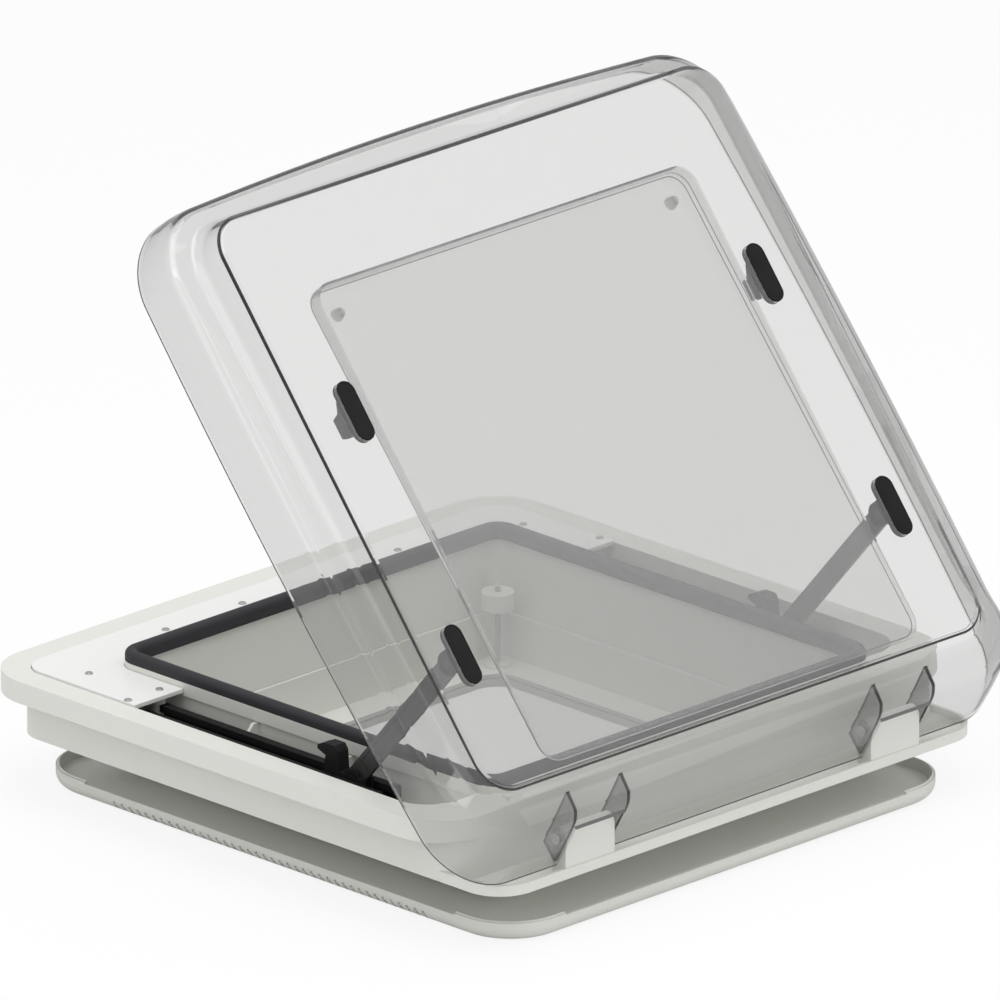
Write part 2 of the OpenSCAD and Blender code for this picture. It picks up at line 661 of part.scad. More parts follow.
module lid_shell() {
    rings = concat([for (k = [0 : lid_last]) lid_ring(lid_profile[k])],
        [for (k = [lid_last : -1 : 0]) lid_ring(lid_inner(k))]);
    n = len(rings[0]);
    m = len(rings);
    polyhedron(
        points = [for (r = rings) each r],
        faces = concat(
            [[for (i = [n - 1 : -1 : 0]) i]],
            [for (k = [0 : m - 2], i = [0 : n - 1]) each let (j = (i + 1) % n)
                [[k * n + i, k * n + j, (k + 1) * n + i], [k * n + j, (k + 1) * n + j, (k + 1) * n + i]]],
            [[for (i = [0 : n - 1]) (m - 1) * n + i]]
        )
    );
}

// Hinge ear: a gusset inside the lid's wall that carries the pin
module lid_ear() {
    p = [for (k = [3 : lid_last]) lid_profile[k]];
    skin = lid_t / 2;
    heel = [pin_d, -pin_d / 2 - skin];
    rotate([90, 0, 90]) linear_extrude(ear_t) polygon(concat(
        [for (q = p) [q[1] + skin, q[4] + q[7] * near_lift + (q[4] > 0 ? -skin : skin)]],
        [[heel[0] - skin, -rim_drop + skin], heel, [p[0][1] + skin, shoulder_z + near_lift - lid_t]]));
}

module dome() {
    notch = 2 * ear_x;
    color(clear_grey) lid_place() difference() {
        union() {
            lid_shell();
            for (s = [-1, 1], e = [ear_x, -ear_x - ear_t]) translate([s * knuckle_x + e, 0, 0]) lid_ear();
        }
        for (s = [-1, 1]) translate([s * knuckle_x - notch / 2, -rim_near - 3 * cut, -rim_drop - cut])
            cube([notch, rim_near + knuckle_r + 6 * cut, rim_drop + notch_z + cut]);
        for (s = [-1, 1]) translate([s * knuckle_x, 0, 0]) bar_x(pin_d + pin_gap, knuckle_l + 4 * ear_t);
        for (s = [-1, 1], q = pad_places) translate([s * q[0], q[1], top_w(q[1])])
            rotate([tilt, 0, 0]) pill(pad_l + 2 * pad_gap, pad_w + 2 * pad_gap, -lid_t - cut, cut);
    }
}

// Half space under the lid's top wall
module under_top() {
    translate([0, 0, top_near_z]) rotate([tilt, 0, 0])
        translate([-rim_x, -top_near, -lid_t - 2 * top_far_z])
            cube([2 * rim_x, rim_far + top_near, 2 * top_far_z]);
}

module inner_pane() {
    color(clear_grey) lid_place() difference() {
        intersection() {
            translate([0, 0, pane_w]) linear_extrude(2 * top_far_z)
                plate2d(pane_x, pane_near, pane_far, pane_r);
            translate([0, top_near, 0]) under_top();
        }
        translate([0, 0, pane_w + pane_t]) linear_extrude(2 * top_far_z)
            plate2d(pane_x, pane_near, pane_far, pane_r, pane_t);
        for (s = [-1, 1]) translate([s * plug_x, plug_v, pane_w - cut])
            cylinder(d = plug_d + 2 * screw_gap, h = pane_t + 2 * cut);
    }
}

module breather_plugs() {
    head = 2;
    color(clear_grey) lid_place() for (s = [-1, 1]) translate([s * plug_x, plug_v, 0]) {
        translate([0, 0, pane_w - head]) cylinder(d = plug_d + 4, h = head);
        translate([0, 0, pane_w - head / 2]) cylinder(d = plug_d, h = 7);
    }
}

module bracket_base() { pill(pad_l, pad_w, -lid_t - base_t, -lid_t); }

module arm_bracket(s) {
    cheek_w = arm_w + cheek_t;
    color(part_black) on_top(s * arm_x, arm_v) difference() {
        union() {
            bracket_base();
            for (e = [-1, 1]) translate([e * (arm_t / 2 + fork_gap + cheek_t / 2), 0, -arm_drop]) {
                bar_x(cheek_w, cheek_t);
                translate([-cheek_t / 2, -cheek_w / 2, 0])
                    cube([cheek_t, cheek_w, arm_drop - lid_t - base_t / 2]);
            }
        }
        translate([0, 0, -arm_drop]) bar_x(arm_pin_d + pin_gap, 3 * pad_w);
    }
}
module arm_bracket_left() { arm_bracket(-1); }
module arm_bracket_right() { arm_bracket(1); }
module bracket_pins() {
    pin_l = arm_t + 2 * (fork_gap + cheek_t);
    color(screw_grey) for (s = [-1, 1]) on_top(s * arm_x, arm_v)
        translate([0, 0, -arm_drop]) bar_x(arm_pin_d, pin_l);
}

// Catch under the lid: a web with a toe that points to the hinge
module catch_bracket(s) {
    web_t = 6;
    color(part_black) on_top(s * catch_x, catch_v) {
        bracket_base();
        translate([0, 0, -lid_t]) rotate([90, 0, 90]) linear_extrude(web_t, center = true) polygon([
            [14, -base_t / 2], [12, -9], [5, -13], [3, -catch_l], [-12, -catch_l], [-14, -catch_l + 5],
            [-5, -catch_l + 6], [-6, -9], [-16, -base_t / 2]
        ]);
    }
}
module catch_bracket_left() { catch_bracket(-1); }
module catch_bracket_right() { catch_bracket(1); }

module top_pads() {
    color(part_black) for (s = [-1, 1], q = pad_places)
        on_top(s * q[0], q[1]) pill(pad_l, pad_w, -lid_t, pad_rise);
}

module hinge_pins() {
    head = 1.2;
    color(screw_grey) lid_place() for (s = [-1, 1]) translate([s * knuckle_x, 0, 0]) {
        bar_x(pin_d, 2 * (ear_x + ear_t) + head);
        translate([-ear_x - ear_t - head / 2, 0, 0]) bar_x(pin_d + 2, head);
    }
}

// Profile of the inner frame's outer wall: upright, then turned in on a round lower edge
module trim_profile() {
    reach = trim_edge + 10;
    difference() {
        union() {
            translate([-reach, trim_z + trim_edge]) square([reach, trim_h - trim_edge]);
            translate([-reach, trim_z]) square([reach - trim_edge, trim_edge + cut]);
            translate([-trim_edge, trim_z + trim_edge]) circle(trim_edge);
        }
        translate([-reach - cut, trim_z + trim_edge]) square([reach + cut - trim_t, trim_h]);
        translate([-reach - cut, trim_z + trim_t]) square([reach + cut - trim_edge, trim_h]);
        translate([-trim_edge, trim_z + trim_edge]) circle(trim_edge - trim_t);
    }
}

module vent_slots() {
    slot_t = 2.6;
    z = trim_z + trim_edge / 2;
    for (s = [-1, 1], i = [0 : slots - 1])
        translate([s * (trim_x - trim_t / 2), (i - (slots - 1) / 2) * slot_pitch, z]) rotate([s * 25, 0, 0])
            cube([3 * trim_t, slot_t, 6], center = true);
}

module inner_frame() {
    corner = 1.25 * trim_r;
    color(frame_white) difference() {
        union() {
            round_sweep(trim_x, -trim_y, trim_y, trim_r) trim_profile();
            ring(trim_z, trim_z + trim_t) { trim2d(trim_edge + 8); mouth2d(); }
            ring(trim_z, ledge_z) { mouth2d(-trim_t); mouth2d(); }
            ring(ledge_z - trim_t, ledge_z) { collar2d(); mouth2d(); }
            ring(ledge_z - trim_t, -collar_top) { collar2d(); collar2d(trim_t); }
            at_places(clamp_places) translate([0, 0, trim_z])
                cylinder(d = cap_d + 2 * wall, h = ledge_h + wall);
        }
        for (p = clamp_places) translate([p[0], p[1], trim_z - cut]) {
            cylinder(d = clamp_d + 2 * screw_gap, h = ledge_h + wall + 2 * cut);
            cylinder(d = cap_d + 2 * screw_gap, h = cap_t + seat_in + cut);
        }
        vent_slots();
        for (e = [-1, 1]) {
            translate([e * trim_x, 0, -roof_t])
                cube([4 * trim_t, 2 * (trim_y - corner), 2 * trim_step], center = true);
            translate([0, e * trim_y, -roof_t])
                cube([2 * (trim_x - corner), 4 * trim_t, 2 * trim_step], center = true);
        }
    }
}

module fly_screen() {
    bx = mouth_x + screen_lap;
    by = mouth_y + screen_lap;
    color(screen_grey) slab(ledge_z, ledge_z + screen_t) plate2d(bx, -by, by, mouth_r);
}

module clamp_screws() {
    head_h = 3;
    color(screw_grey) for (p = clamp_places) translate([p[0], p[1], trim_z + cap_t + seat_in - head_h]) {
        cylinder(d = 2 * clamp_d, h = head_h);
        cylinder(d = clamp_d, h = boss_z + boss_h + wall + head_h - trim_z - cap_t - seat_in);
    }
}
module screw_caps() {
    color(frame_white) at_places(clamp_places) translate([0, 0, trim_z]) cylinder(d = cap_d, h = cap_t);
}

outer_frame();
cover_plate();
plate_screws();
gasket();
rail_left();
rail_right();
rail_screws();
carriage_left();
carriage_right();
carriage_pin_left();
carriage_pin_right();
arm_left();
arm_right();
dome();
inner_pane();
breather_plugs();
arm_bracket_left();
arm_bracket_right();
bracket_pins();
catch_bracket_left();
catch_bracket_right();
top_pads();
hinge_pins();
inner_frame();
fly_screen();
clamp_screws();
screw_caps();
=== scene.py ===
"""Looks of a caravan roof vent with a clear hinged lid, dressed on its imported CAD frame."""

import json
import math
from collections import namedtuple

import bpy
import numpy as np
from mathutils import Matrix, Vector


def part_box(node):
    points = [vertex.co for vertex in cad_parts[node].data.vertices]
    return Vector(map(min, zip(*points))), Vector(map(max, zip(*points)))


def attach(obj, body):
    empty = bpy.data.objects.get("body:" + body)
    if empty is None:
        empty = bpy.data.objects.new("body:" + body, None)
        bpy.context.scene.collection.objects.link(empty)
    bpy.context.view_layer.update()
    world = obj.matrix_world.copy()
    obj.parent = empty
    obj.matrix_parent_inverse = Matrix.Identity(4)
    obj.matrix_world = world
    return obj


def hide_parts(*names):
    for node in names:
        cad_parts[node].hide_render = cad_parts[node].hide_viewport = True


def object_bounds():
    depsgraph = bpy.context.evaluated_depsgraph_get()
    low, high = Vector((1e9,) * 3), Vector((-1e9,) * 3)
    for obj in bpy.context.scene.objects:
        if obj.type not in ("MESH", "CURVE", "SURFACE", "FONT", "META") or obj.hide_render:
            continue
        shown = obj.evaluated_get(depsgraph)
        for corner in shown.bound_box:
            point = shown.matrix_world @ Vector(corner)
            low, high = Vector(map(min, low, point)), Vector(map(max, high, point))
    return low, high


bl_info = {
    "name": "Caravan roof vent",
    "version": (1, 0, 0),
    "blender": (4, 5, 0),
    "location": "3D View > Sidebar > Roof vent",
    "description": "Dresses the packed frame of a caravan roof vent",
    "category": "Object",
}

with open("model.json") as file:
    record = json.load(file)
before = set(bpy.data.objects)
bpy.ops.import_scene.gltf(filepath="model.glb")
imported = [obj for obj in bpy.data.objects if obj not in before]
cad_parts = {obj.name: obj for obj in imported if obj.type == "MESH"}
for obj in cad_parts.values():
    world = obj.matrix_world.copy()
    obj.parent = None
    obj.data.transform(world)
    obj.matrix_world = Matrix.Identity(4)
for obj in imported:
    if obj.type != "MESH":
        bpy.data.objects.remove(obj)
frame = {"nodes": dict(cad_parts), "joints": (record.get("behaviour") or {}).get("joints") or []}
CAD_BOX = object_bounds()
MM = 0.001

# Hinge of the lid and the angle at which the lid is drawn, as in the part's source
LID_HINGE = next(j for j in frame["joints"] if j["name"] == "dome_hinge")["pos_m"]
LID_OPEN = math.radians(50)
# Share of the lid's half length over which its shoulder rises towards the hinge
LIFT_SHARE = 0.25
# What the rows of the lid's profile add to its main sizes, from the top face to the rim: to the half width,
# the near edge, the free edge, the corner radius and the height
LID_STEPS = MM * np.array([
    [-2.8, 2.8, -2.8, -2.8, 0], [0, 0, 0, 0, -1.7], [3.2, -8, 3, 3, 3.2], [7, -14, 6.5, 6, 0],
    [-7, 22, -6, -7, -1.5], [-2, 15.5, -2.5, -3, -5.7], [-0.5, 7.5, -0.5, -1, -23], [0, 0, 0, 0, 0]])
# Shares of the top face's rise, of the rim's bow and of the lift on the hinge side in the same rows
LID_SHARES = np.array([
    [1, 0, 0], [1, 0, 0], [0.12, 0.1, 0.8], [0, 0.2, 1], [0, 0.5, 1], [0, 0.7, 0.85], [0, 0.9, 0.6], [0, 1, 0]])
# Reach of the rounding at each inner corner of that profile, the largest share of an edge that it takes, and
# its points
LID_EDGES = np.array([1, 1, 1, 1, 4, 5]) * MM
FILLET_SHARE = 0.45
FILLET_STEPS = 6
# Least corner radius of the lid's inner face, and flat margin of its top face inside the round edge
LEAST_RADIUS = 2 * MM
TOP_MARGIN = 2 * MM
# Width of the dark line on the lid's sawn rim; its near-black colour is painted shade
RIM_LINE = 1.2 * MM
# Distance from the hinge axis to the inner end of the hinge notches
NOTCH_BACK = 9.8 * MM
# How far a cutting shape reaches past what it cuts
PAST = MM
# Radius of the pane's lower edge, points on it, the pane's gap to the lid and the play round a plug
PANE_ROUND = 3 * MM
PANE_STEPS = 7
PANE_SEAT = 0.05 * MM
PLUG_PLAY = 0.1 * MM
# Profile of a breather plug: radius added to the stem's, height above the pane's lower face
PLUG_PROFILE = MM * np.array([(1.2, -2), (2, -1.4), (2, -0.3), (1.6, -0.05), (0, -0.05), (0, 3.2), (0.8, 3.6),
                              (0.8, 4.6), (-0.4, 6)])
# Profile of a pad above the lid's top face: inset from its edge, height
PAD_PROFILE = MM * np.array([(0, 0.3), (0.15, 0.6), (0.5, 0.78), (1.1, 0.8), (1.5, 0.5), (1.9, 0.46),
                             (2.6, 0.62), (4.5, 0.74), (7, 0.78)])

# Absorption density and milky share of the acrylic pieces
LID_BODY, PANE_BODY, PLUG_BODY = (90, 0.03), (100, 0.05), (150, 0.12)
# Half width of a thread of the fly screen as a share of its pitch
THREAD_SHARE = 0.13

# Area lights: name, place, size and power; and the point that they are aimed at
LIGHTS = (("overhead", (-0.3, -0.4, 2.6), 2.4, 41), ("left", (-2.1, -0.8, 2.2), 1.6, 7),
          ("right", (2.0, -1.45, 2.0), 1.4, 6))
LIGHT_AIM = (0, 0, 0.08)
# Floor: half its width, its gap under the part, and the white share that the camera sees of it
FLOOR_HALF, FLOOR_GAP, FLOOR_SEEN = 40.0, 0.5 * MM, 0.86
# Camera: width of the sensor in millimetres, azimuth and elevation, and shift to the right and up
SENSOR = 36
CAMERA_TURN = math.radians(-45), math.radians(20)
CAMERA_SHIFT = 0.0033, 0.1644

WHITE_NODES = ("outer_frame", "inner_frame", "screw_caps")
RAIL_NODES = ("rail_left", "rail_right", "carriage_left", "carriage_right")
BRACKET_NODES = ("arm_bracket_left", "arm_bracket_right", "catch_bracket_left", "catch_bracket_right")
ARM_NODES = ("arm_left", "arm_right")
STEEL_NODES = ("plate_screws", "rail_screws", "clamp_screws", "hinge_pins")
DARK_PIN_NODES = ("bracket_pins", "carriage_pin_left", "carriage_pin_right")


# Settings


def length(name, text, mm, low, high):
    """A length property with its default in millimetres."""
    return bpy.props.FloatProperty(name=name, description=text, default=mm * MM, min=low * MM, max=high * MM,
                                   unit="LENGTH", precision=5)


def colour(name, text, rgb):
    """A colour property with a linear default."""
    return bpy.props.FloatVectorProperty(name=name, description=text, default=rgb, size=3, min=0, max=1,
                                         subtype="COLOR")


class RoofVentLid(bpy.types.PropertyGroup):
    """Sizes of the clear lid and of the second pane under it."""

    wall: length("Wall", "Thickness of the lid's wall", 3, 2.6, 3.2)
    top_x: length("Top half width", "Half width of the top face", 252.3, 248, 255)
    top_near: length("Top near edge", "Distance from the hinge to the top face", 34.8, 32, 37)
    top_far: length("Top free edge", "Distance from the hinge to the top face's free edge", 491, 486, 494)
    top_near_z: length("Near height", "Height of the top face at its near edge", 38.8, 38.6, 40)
    top_far_z: length("Free height", "Height of the top face at its free edge", 51.1, 49, 54)
    top_r: length("Top corner", "Corner radius of the top face", 28, 22, 34)
    shoulder_z: length("Shoulder", "Height of the shoulder above the hinge", 25.2, 24.8, 26)
    near_lift: length("Near lift", "Height that the shoulder rises towards the hinge", 9.5, 6, 11)
    notch_w: length("Notch", "Height of the hinge notches' upper edge above the hinge", 19.6, 18, 21)
    rim_x: length("Rim half width", "Half width of the rim at its corners", 281, 278, 284)
    rim_near: length("Rim near edge", "Distance that the rim lies behind the hinge", 15.5, 14, 16)
    rim_far: length("Rim free edge", "Distance from the hinge to the rim's free edge", 513, 511, 518)
    rim_drop: length("Rim drop", "Depth of the rim below the hinge", 14.5, 13, 15)
    rim_r: length("Rim corner", "Corner radius of the rim", 52, 46, 56)
    side_bow: length("Side bow", "Outward bow of the rim's sides", 7, 4, 9)
    end_bow: length("End bow", "Outward bow of the rim's free end", 12, 8, 15)
    pane_x: length("Pane half width", "Half width of the second pane", 189.5, 184, 194)
    pane_near: length("Pane near edge", "Distance from the hinge to the pane", 43.5, 42, 48)
    pane_far: length("Pane free edge", "Distance from the hinge to the pane's free edge", 424, 415, 432)
    pane_r: length("Pane corner", "Corner radius of the pane", 16, 12, 20)
    pane_w: length("Pane height", "Height of the pane's lower face above the hinge", 33.8, 33, 35)
    pane_t: length("Pane wall", "Thickness of the pane", 2, 1.6, 2.2)
    knuckle_x: length("Knuckle place", "Distance of the hinge knuckles from the middle", 154, 146, 160)
    ear_x: length("Ear place", "Distance of a hinge ear from its knuckle's middle", 25, 22, 27)
    ear_t: length("Ear", "Thickness of a hinge ear", 3.2, 3, 5)
    pin_d: length("Pin hole", "Diameter of the pin's hole in the ears", 6.05, 5, 7)


class RoofVentFittings(bpy.types.PropertyGroup):
    """Sizes of the pads, the breather plugs, the fly screen and the inner frame's upper face."""

    pad_l: length("Pad length", "Length of a pad in the lid's top face", 46.5, 42, 52)
    pad_w: length("Pad width", "Width of a pad", 16, 14, 18)
    pad_gap: length("Pad gap", "Gap round a pad in its hole", 0.2, 0.1, 0.4)
    arm_x: length("Arm place", "Distance of the arms from the middle", 217, 215, 219)
    arm_v: length("Arm bracket", "Distance from the hinge to the arm brackets", 138.5, 132, 145)
    catch_x: length("Catch place", "Distance of the catches from the middle", 205.7, 202, 207)
    catch_v: length("Catch", "Distance from the hinge to the catches", 329, 322, 336)
    plug_in: length("Plug place", "Distance of the plugs from the pane's edges", 22, 18, 30)
    plug_d: length("Plug", "Diameter of a breather plug's stem", 6, 5, 8)
    net_pitch: length("Net pitch", "Spacing of the fly screen's threads", 1.6, 1, 3)
    tray_z: length("Tray", "Height of the inner frame's upper face at the sleeve", -29.5, -31, -29)
    tray_fall: length("Tray fall", "Height that the upper face falls towards its edge", 7, 4, 9)
    tray_t: length("Tray wall", "Thickness of the inner frame's upper face", 2, 1.5, 2.5)
    tray_in: length("Tray edge", "Distance of the upper face's edge inside the inner frame", 2, 1, 2.4)
    tray_r: length("Tray corner", "Corner radius of the upper face", 43, 40, 46)
    sleeve_x: length("Sleeve half width", "Half width of the sleeve inside the upper face", 186, 184, 188)
    sleeve_y: length("Sleeve half length", "Half length of the sleeve inside the upper face", 184, 182, 186)
    sleeve_r: length("Sleeve corner", "Corner radius of the sleeve inside the upper face", 12, 10, 14)


class RoofVentFinish(bpy.types.PropertyGroup):
    """Colours of the finishes."""

    white: colour("White moulding", "Colour of the two frames", (0.745, 0.75, 0.705))
    plate: colour("Cover plate", "Colour of the cover plate", (0.83, 0.83, 0.82))
    black: colour("Black plastic", "Colour of rails, carriages, brackets and pads", (0.008, 0.008, 0.009))
    grey: colour("Arm grey", "Colour of the arms", (0.014, 0.014, 0.015))
    rubber: colour("Seal rubber", "Colour of the seal", (0.006, 0.006, 0.006))
    steel: colour("Steel", "Colour of screws and hinge pins", (0.5, 0.5, 0.49))
    pin: colour("Dark pins", "Colour of the arms' pivot pins", (0.05, 0.05, 0.05))
    clear: colour("Clear acrylic", "Tint of the lid and the pane", (0.87, 0.87, 0.865))
    # Painted shade: this darker tint of the acrylic goes on the lid's round top edge and the hinge ears' flat
    # faces, where the clear acrylic looks darker
    bend: colour("Acrylic bend", "Tint of the lid's bent top edge", (0.56, 0.56, 0.56))
    # Painted shade: the two dark lines along the pane's round edge are this darker tint of the acrylic
    line: colour("Pane line", "Tint of the two lines along the pane's round edge", (0.25, 0.25, 0.25))
    plug: colour("Plugs", "Tint of the breather plugs", (0.7, 0.7, 0.7))
    # Painted shade: this near-black colour goes on the acrylic's cut faces: the lid's rim line, the notches and
    # the ears' sides
    edge: colour("Acrylic edge", "Colour of the acrylic's cut edges", (0.06, 0.06, 0.06))
    net: colour("Net", "Colour of the fly screen", (0.36, 0.36, 0.35))


class RoofVentStage(bpy.types.PropertyGroup):
    """Floor, light and camera."""

    floor: colour("Floor", "Colour of the floor", (0.86, 0.86, 0.86))
    sky: bpy.props.FloatProperty(name="Sky", description="Strength of the even light", default=0.65, min=0,
                                 max=2)
    lens: bpy.props.FloatProperty(name="Lens", description="Focal length", default=1200, min=50, max=1700,
                                  unit="CAMERA")
    view_width: length("View width", "Width of the picture at the object", 714.3, 500, 1000)


Settings = namedtuple("Settings", "lid fit finish stage")


def settings():
    """The four groups of settings on the scene."""
    s = bpy.context.scene
    return Settings(s.roof_vent_lid, s.roof_vent_fittings, s.roof_vent_finish, s.roof_vent_stage)


# Meshes


def lid_to_row(points):
    """Lid coordinates x, v, w become the part's: v and w are turned by the open angle about the hinge axis.
    y = hinge y + v cos a - w sin a, z = hinge z + v sin a + w cos a."""
    x, v, w = points[..., 0], points[..., 1], points[..., 2]
    c, s = math.cos(LID_OPEN), math.sin(LID_OPEN)
    return np.stack([x, LID_HINGE[1] + v * c - w * s, LID_HINGE[2] + v * s + w * c], axis=-1)


def grid_quads(rows, cols, wrap=False):
    """Quads of a grid whose columns close: (k, i), (k, i+1), (k+1, i+1), (k+1, i).
    With wrap the rows close too."""
    k, i = np.meshgrid(np.arange(rows if wrap else rows - 1), np.arange(cols), indexing="ij")
    j, m = (i + 1) % cols, (k + 1) % rows
    return np.stack([k * cols + i, k * cols + j, m * cols + j, m * cols + i], axis=-1).reshape(-1, 4)


def ring_solid(rings):
    """A closed solid from rings (rows, points, 3): quads between the rows and a flat cap on both ends."""
    rows, cols = rings.shape[:2]
    ends = np.arange(cols)
    return rings.reshape(-1, 3), grid_quads(rows, cols), [ends[::-1], ends + (rows - 1) * cols]


def ring_loop(rings):
    """A closed solid from rings (rows, points, 3) whose last row runs on into the first."""
    return rings.reshape(-1, 3), grid_quads(*rings.shape[:2], wrap=True), []


def joined(solids):
    """Several solids as one, with the numbers in their faces moved on."""
    starts = np.cumsum([0] + [len(points) for points, _, _ in solids])
    return (np.concatenate([points for points, _, _ in solids]),
            np.concatenate([quads + n for n, (_, quads, _) in zip(starts, solids)]),
            [cap + n for n, (_, _, caps) in zip(starts, solids) for cap in caps])


def make_mesh(name, points, quads, caps=()):
    """A mesh object at the origin from points in the part's frame. Its faces point outwards: the sum of
    area * normal . centre over its faces is three times its volume, so where that is negative they are
    turned."""
    mesh = bpy.data.meshes.new(name)
    mesh.from_pydata(points.tolist(), [], quads.tolist() + [cap.tolist() for cap in caps])
    mesh.update()
    count = len(mesh.polygons)
    area, normal, centre = np.empty(count), np.empty(3 * count), np.empty(3 * count)
    for label, values in (("area", area), ("normal", normal), ("center", centre)):
        mesh.polygons.foreach_get(label, values)
    if np.sum(np.repeat(area, 3) * normal * centre) < 0:
        mesh.flip_normals()
    obj = bpy.data.objects.new(name, mesh)
    bpy.context.scene.collection.objects.link(obj)
    return obj


def mark_edges(obj, faces, materials, bend=()):
    """Gives a mesh its finishes: the second one on the numbered faces and the third on those of a bend. In this
    script both of them are painted shade: near-black cut faces and darker copies of the acrylic.
    """
    for material in materials:
        obj.data.materials.append(material)
    index = np.zeros(len(obj.data.polygons), dtype=np.int32)
    index[faces] = 1
    index[np.array(bend, dtype=int)] = 2
    obj.data.polygons.foreach_set("material_index", index)
    return obj


def finish_piece(obj, material, body, slot, *nodes, angle=32):
    """Shades a piece, gives it its finish unless it has one, and lets it ride on its body in place of
    CAD nodes."""
    if material:
        obj.data.materials.append(material)
    obj.data.shade_smooth()
    obj.data.set_sharp_from_angle(angle=math.radians(angle))
    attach(obj, body)
    if nodes:
        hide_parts(*nodes)
    return obj


def carve(obj, tool, operation):
    """Applies a Boolean of another mesh to obj and removes that mesh."""
    mod = obj.modifiers.new("carve", "BOOLEAN")
    mod.object, mod.operation, mod.solver = tool, operation, "EXACT"
    made = bpy.data.meshes.new_from_object(obj.evaluated_get(bpy.context.evaluated_depsgraph_get()))
    obj.modifiers.clear()
    old, obj.data = obj.data, made
    made.name = obj.name
    bpy.data.meshes.remove(old)
    bpy.data.objects.remove(tool)


def dress(nodes, material):
    """Puts a finish on CAD nodes."""
    for n in nodes:
        data = frame["nodes"][n].data
        data.materials.clear()
        data.materials.append(material)


# Lid shapes


def lid_rows(lid):
    """Rows of the lid's outer profile from the top face to the rim: half width, near edge, free edge, corner
    radius, height, share of the top face's rise, share of the rim's bow and share of the lift at the hinge."""
    x, near, far, r, z = lid.top_x, lid.top_near, lid.top_far, lid.top_r, lid.top_near_z
    rx, back, end, rr, s = lid.rim_x, -lid.rim_near, lid.rim_far, lid.rim_r, lid.shoulder_z
    base = np.array([[x, near, far, r, z]] * 2 + [[x, near, far, r, s]] * 2 + [[rx, back, end, rr, s]] * 3
                    + [[rx, back, end, rr, -lid.rim_drop]])
    return np.column_stack([base + LID_STEPS, LID_SHARES])


def filleted(rows, reach, steps=FILLET_STEPS):
    """Rounds the inner corners of a line of profile rows. A corner P between points A and B on its two edges,
    its reach away at most, becomes the curve (1-t)^2 A + 2t(1-t) P + t^2 B."""
    edge = np.hypot(np.diff(rows[:, 0]), np.diff(rows[:, 4]))
    before, after = (np.minimum(reach / e, FILLET_SHARE)[:, None] for e in (edge[:-1], edge[1:]))
    p = rows[1:-1]
    a = p + (rows[:-2] - p) * before
    b = p + (rows[2:] - p) * after
    t = np.linspace(0, 1, steps)[None, :, None]
    curve = (1 - t) ** 2 * a[:, None] + 2 * t * (1 - t) * p[:, None] + t ** 2 * b[:, None]
    return np.concatenate([rows[:1], curve.reshape(-1, rows.shape[1]), rows[-1:]])


def lid_tilt(lid):
    """Rise of the top face per unit of distance from the hinge."""
    return (lid.top_far_z - lid.top_near_z) / (lid.top_far - lid.top_near)


def inset_rows(rows, lid):
    """The inner rows: each row moved in by the wall's thickness along its normal, in the plane of width and
    height."""
    rise = (lid.top_far_z - lid.top_near_z) / 2
    height = rows[:, 4] + rows[:, 5] * rise
    d = np.stack([np.gradient(rows[:, 0]), np.gradient(height)], axis=1)
    d /= np.linalg.norm(d, axis=1, keepdims=True)
    out, up = -d[:, 1] * lid.wall, d[:, 0] * lid.wall
    out[0], up[0], out[-1], up[-1] = 0, lid.wall, lid.wall, 0
    inner = rows.copy()
    inner[:, 0] -= out
    inner[:, 1] += out
    inner[:, 2] -= out
    inner[:, 3] = np.maximum(inner[:, 3] - out, LEAST_RADIUS)
    inner[:, 4] -= up
    return inner


def lid_rings(rows, lid, corner_steps=24, side_steps=64):
    """Rings of the lid for profile rows. A ring is four quarter circles joined by straight sides; then x grows
    by bow * u * (1 - t^2) and v by bow * (1 - u^2) * max(t, 0), u and t being x and v in half sizes from the
    middle. Over the last quarter before the hinge side, s^2 (3 - 2s) times the lift is added to the height."""
    a = np.linspace(0, math.pi / 2, corner_steps + 1)
    along = np.arange(1, side_steps) / side_steps
    half_x, near, far, r, height, rise, bow, lift = (rows[:, i:i + 1] for i in range(8))
    cx, v0, v1 = half_x - r, near + r, far - r
    centres = [(cx, v1), (-cx, v1), (-cx, v0), (cx, v0)]
    xs, vs = [], []
    for i, (px, pv) in enumerate(centres):
        turn, end = a + i * math.pi / 2, (i + 1) * math.pi / 2
        qx, qv = centres[(i + 1) % 4]
        xs += [px + r * np.cos(turn), px + (qx - px) * along + r * math.cos(end)]
        vs += [pv + r * np.sin(turn), pv + (qv - pv) * along + r * math.sin(end)]
    x, v = np.concatenate(xs, axis=1), np.concatenate(vs, axis=1)
    t, u = (v - (near + far) / 2) / ((far - near) / 2), x / half_x
    s = np.clip((LIFT_SHARE - 1 - t) / LIFT_SHARE, 0, 1)
    v = v + bow * lid.end_bow * (1 - u * u) * np.maximum(t, 0)
    x = x + bow * lid.side_bow * u * (1 - t * t)
    w = height + rise * (v - lid.top_near) * lid_tilt(lid) + lift * lid.near_lift * s * s * (3 - 2 * s)
    return np.stack([x, v, w], axis=-1)


def flat_margin(rows, by):
    """A copy of the first row drawn in on the top face, so that the cap stays flat in its shading."""
    extra = rows[:1].copy()
    extra[:, [0, 2, 3]] -= by
    extra[:, 1] += by
    return np.concatenate([extra, rows])


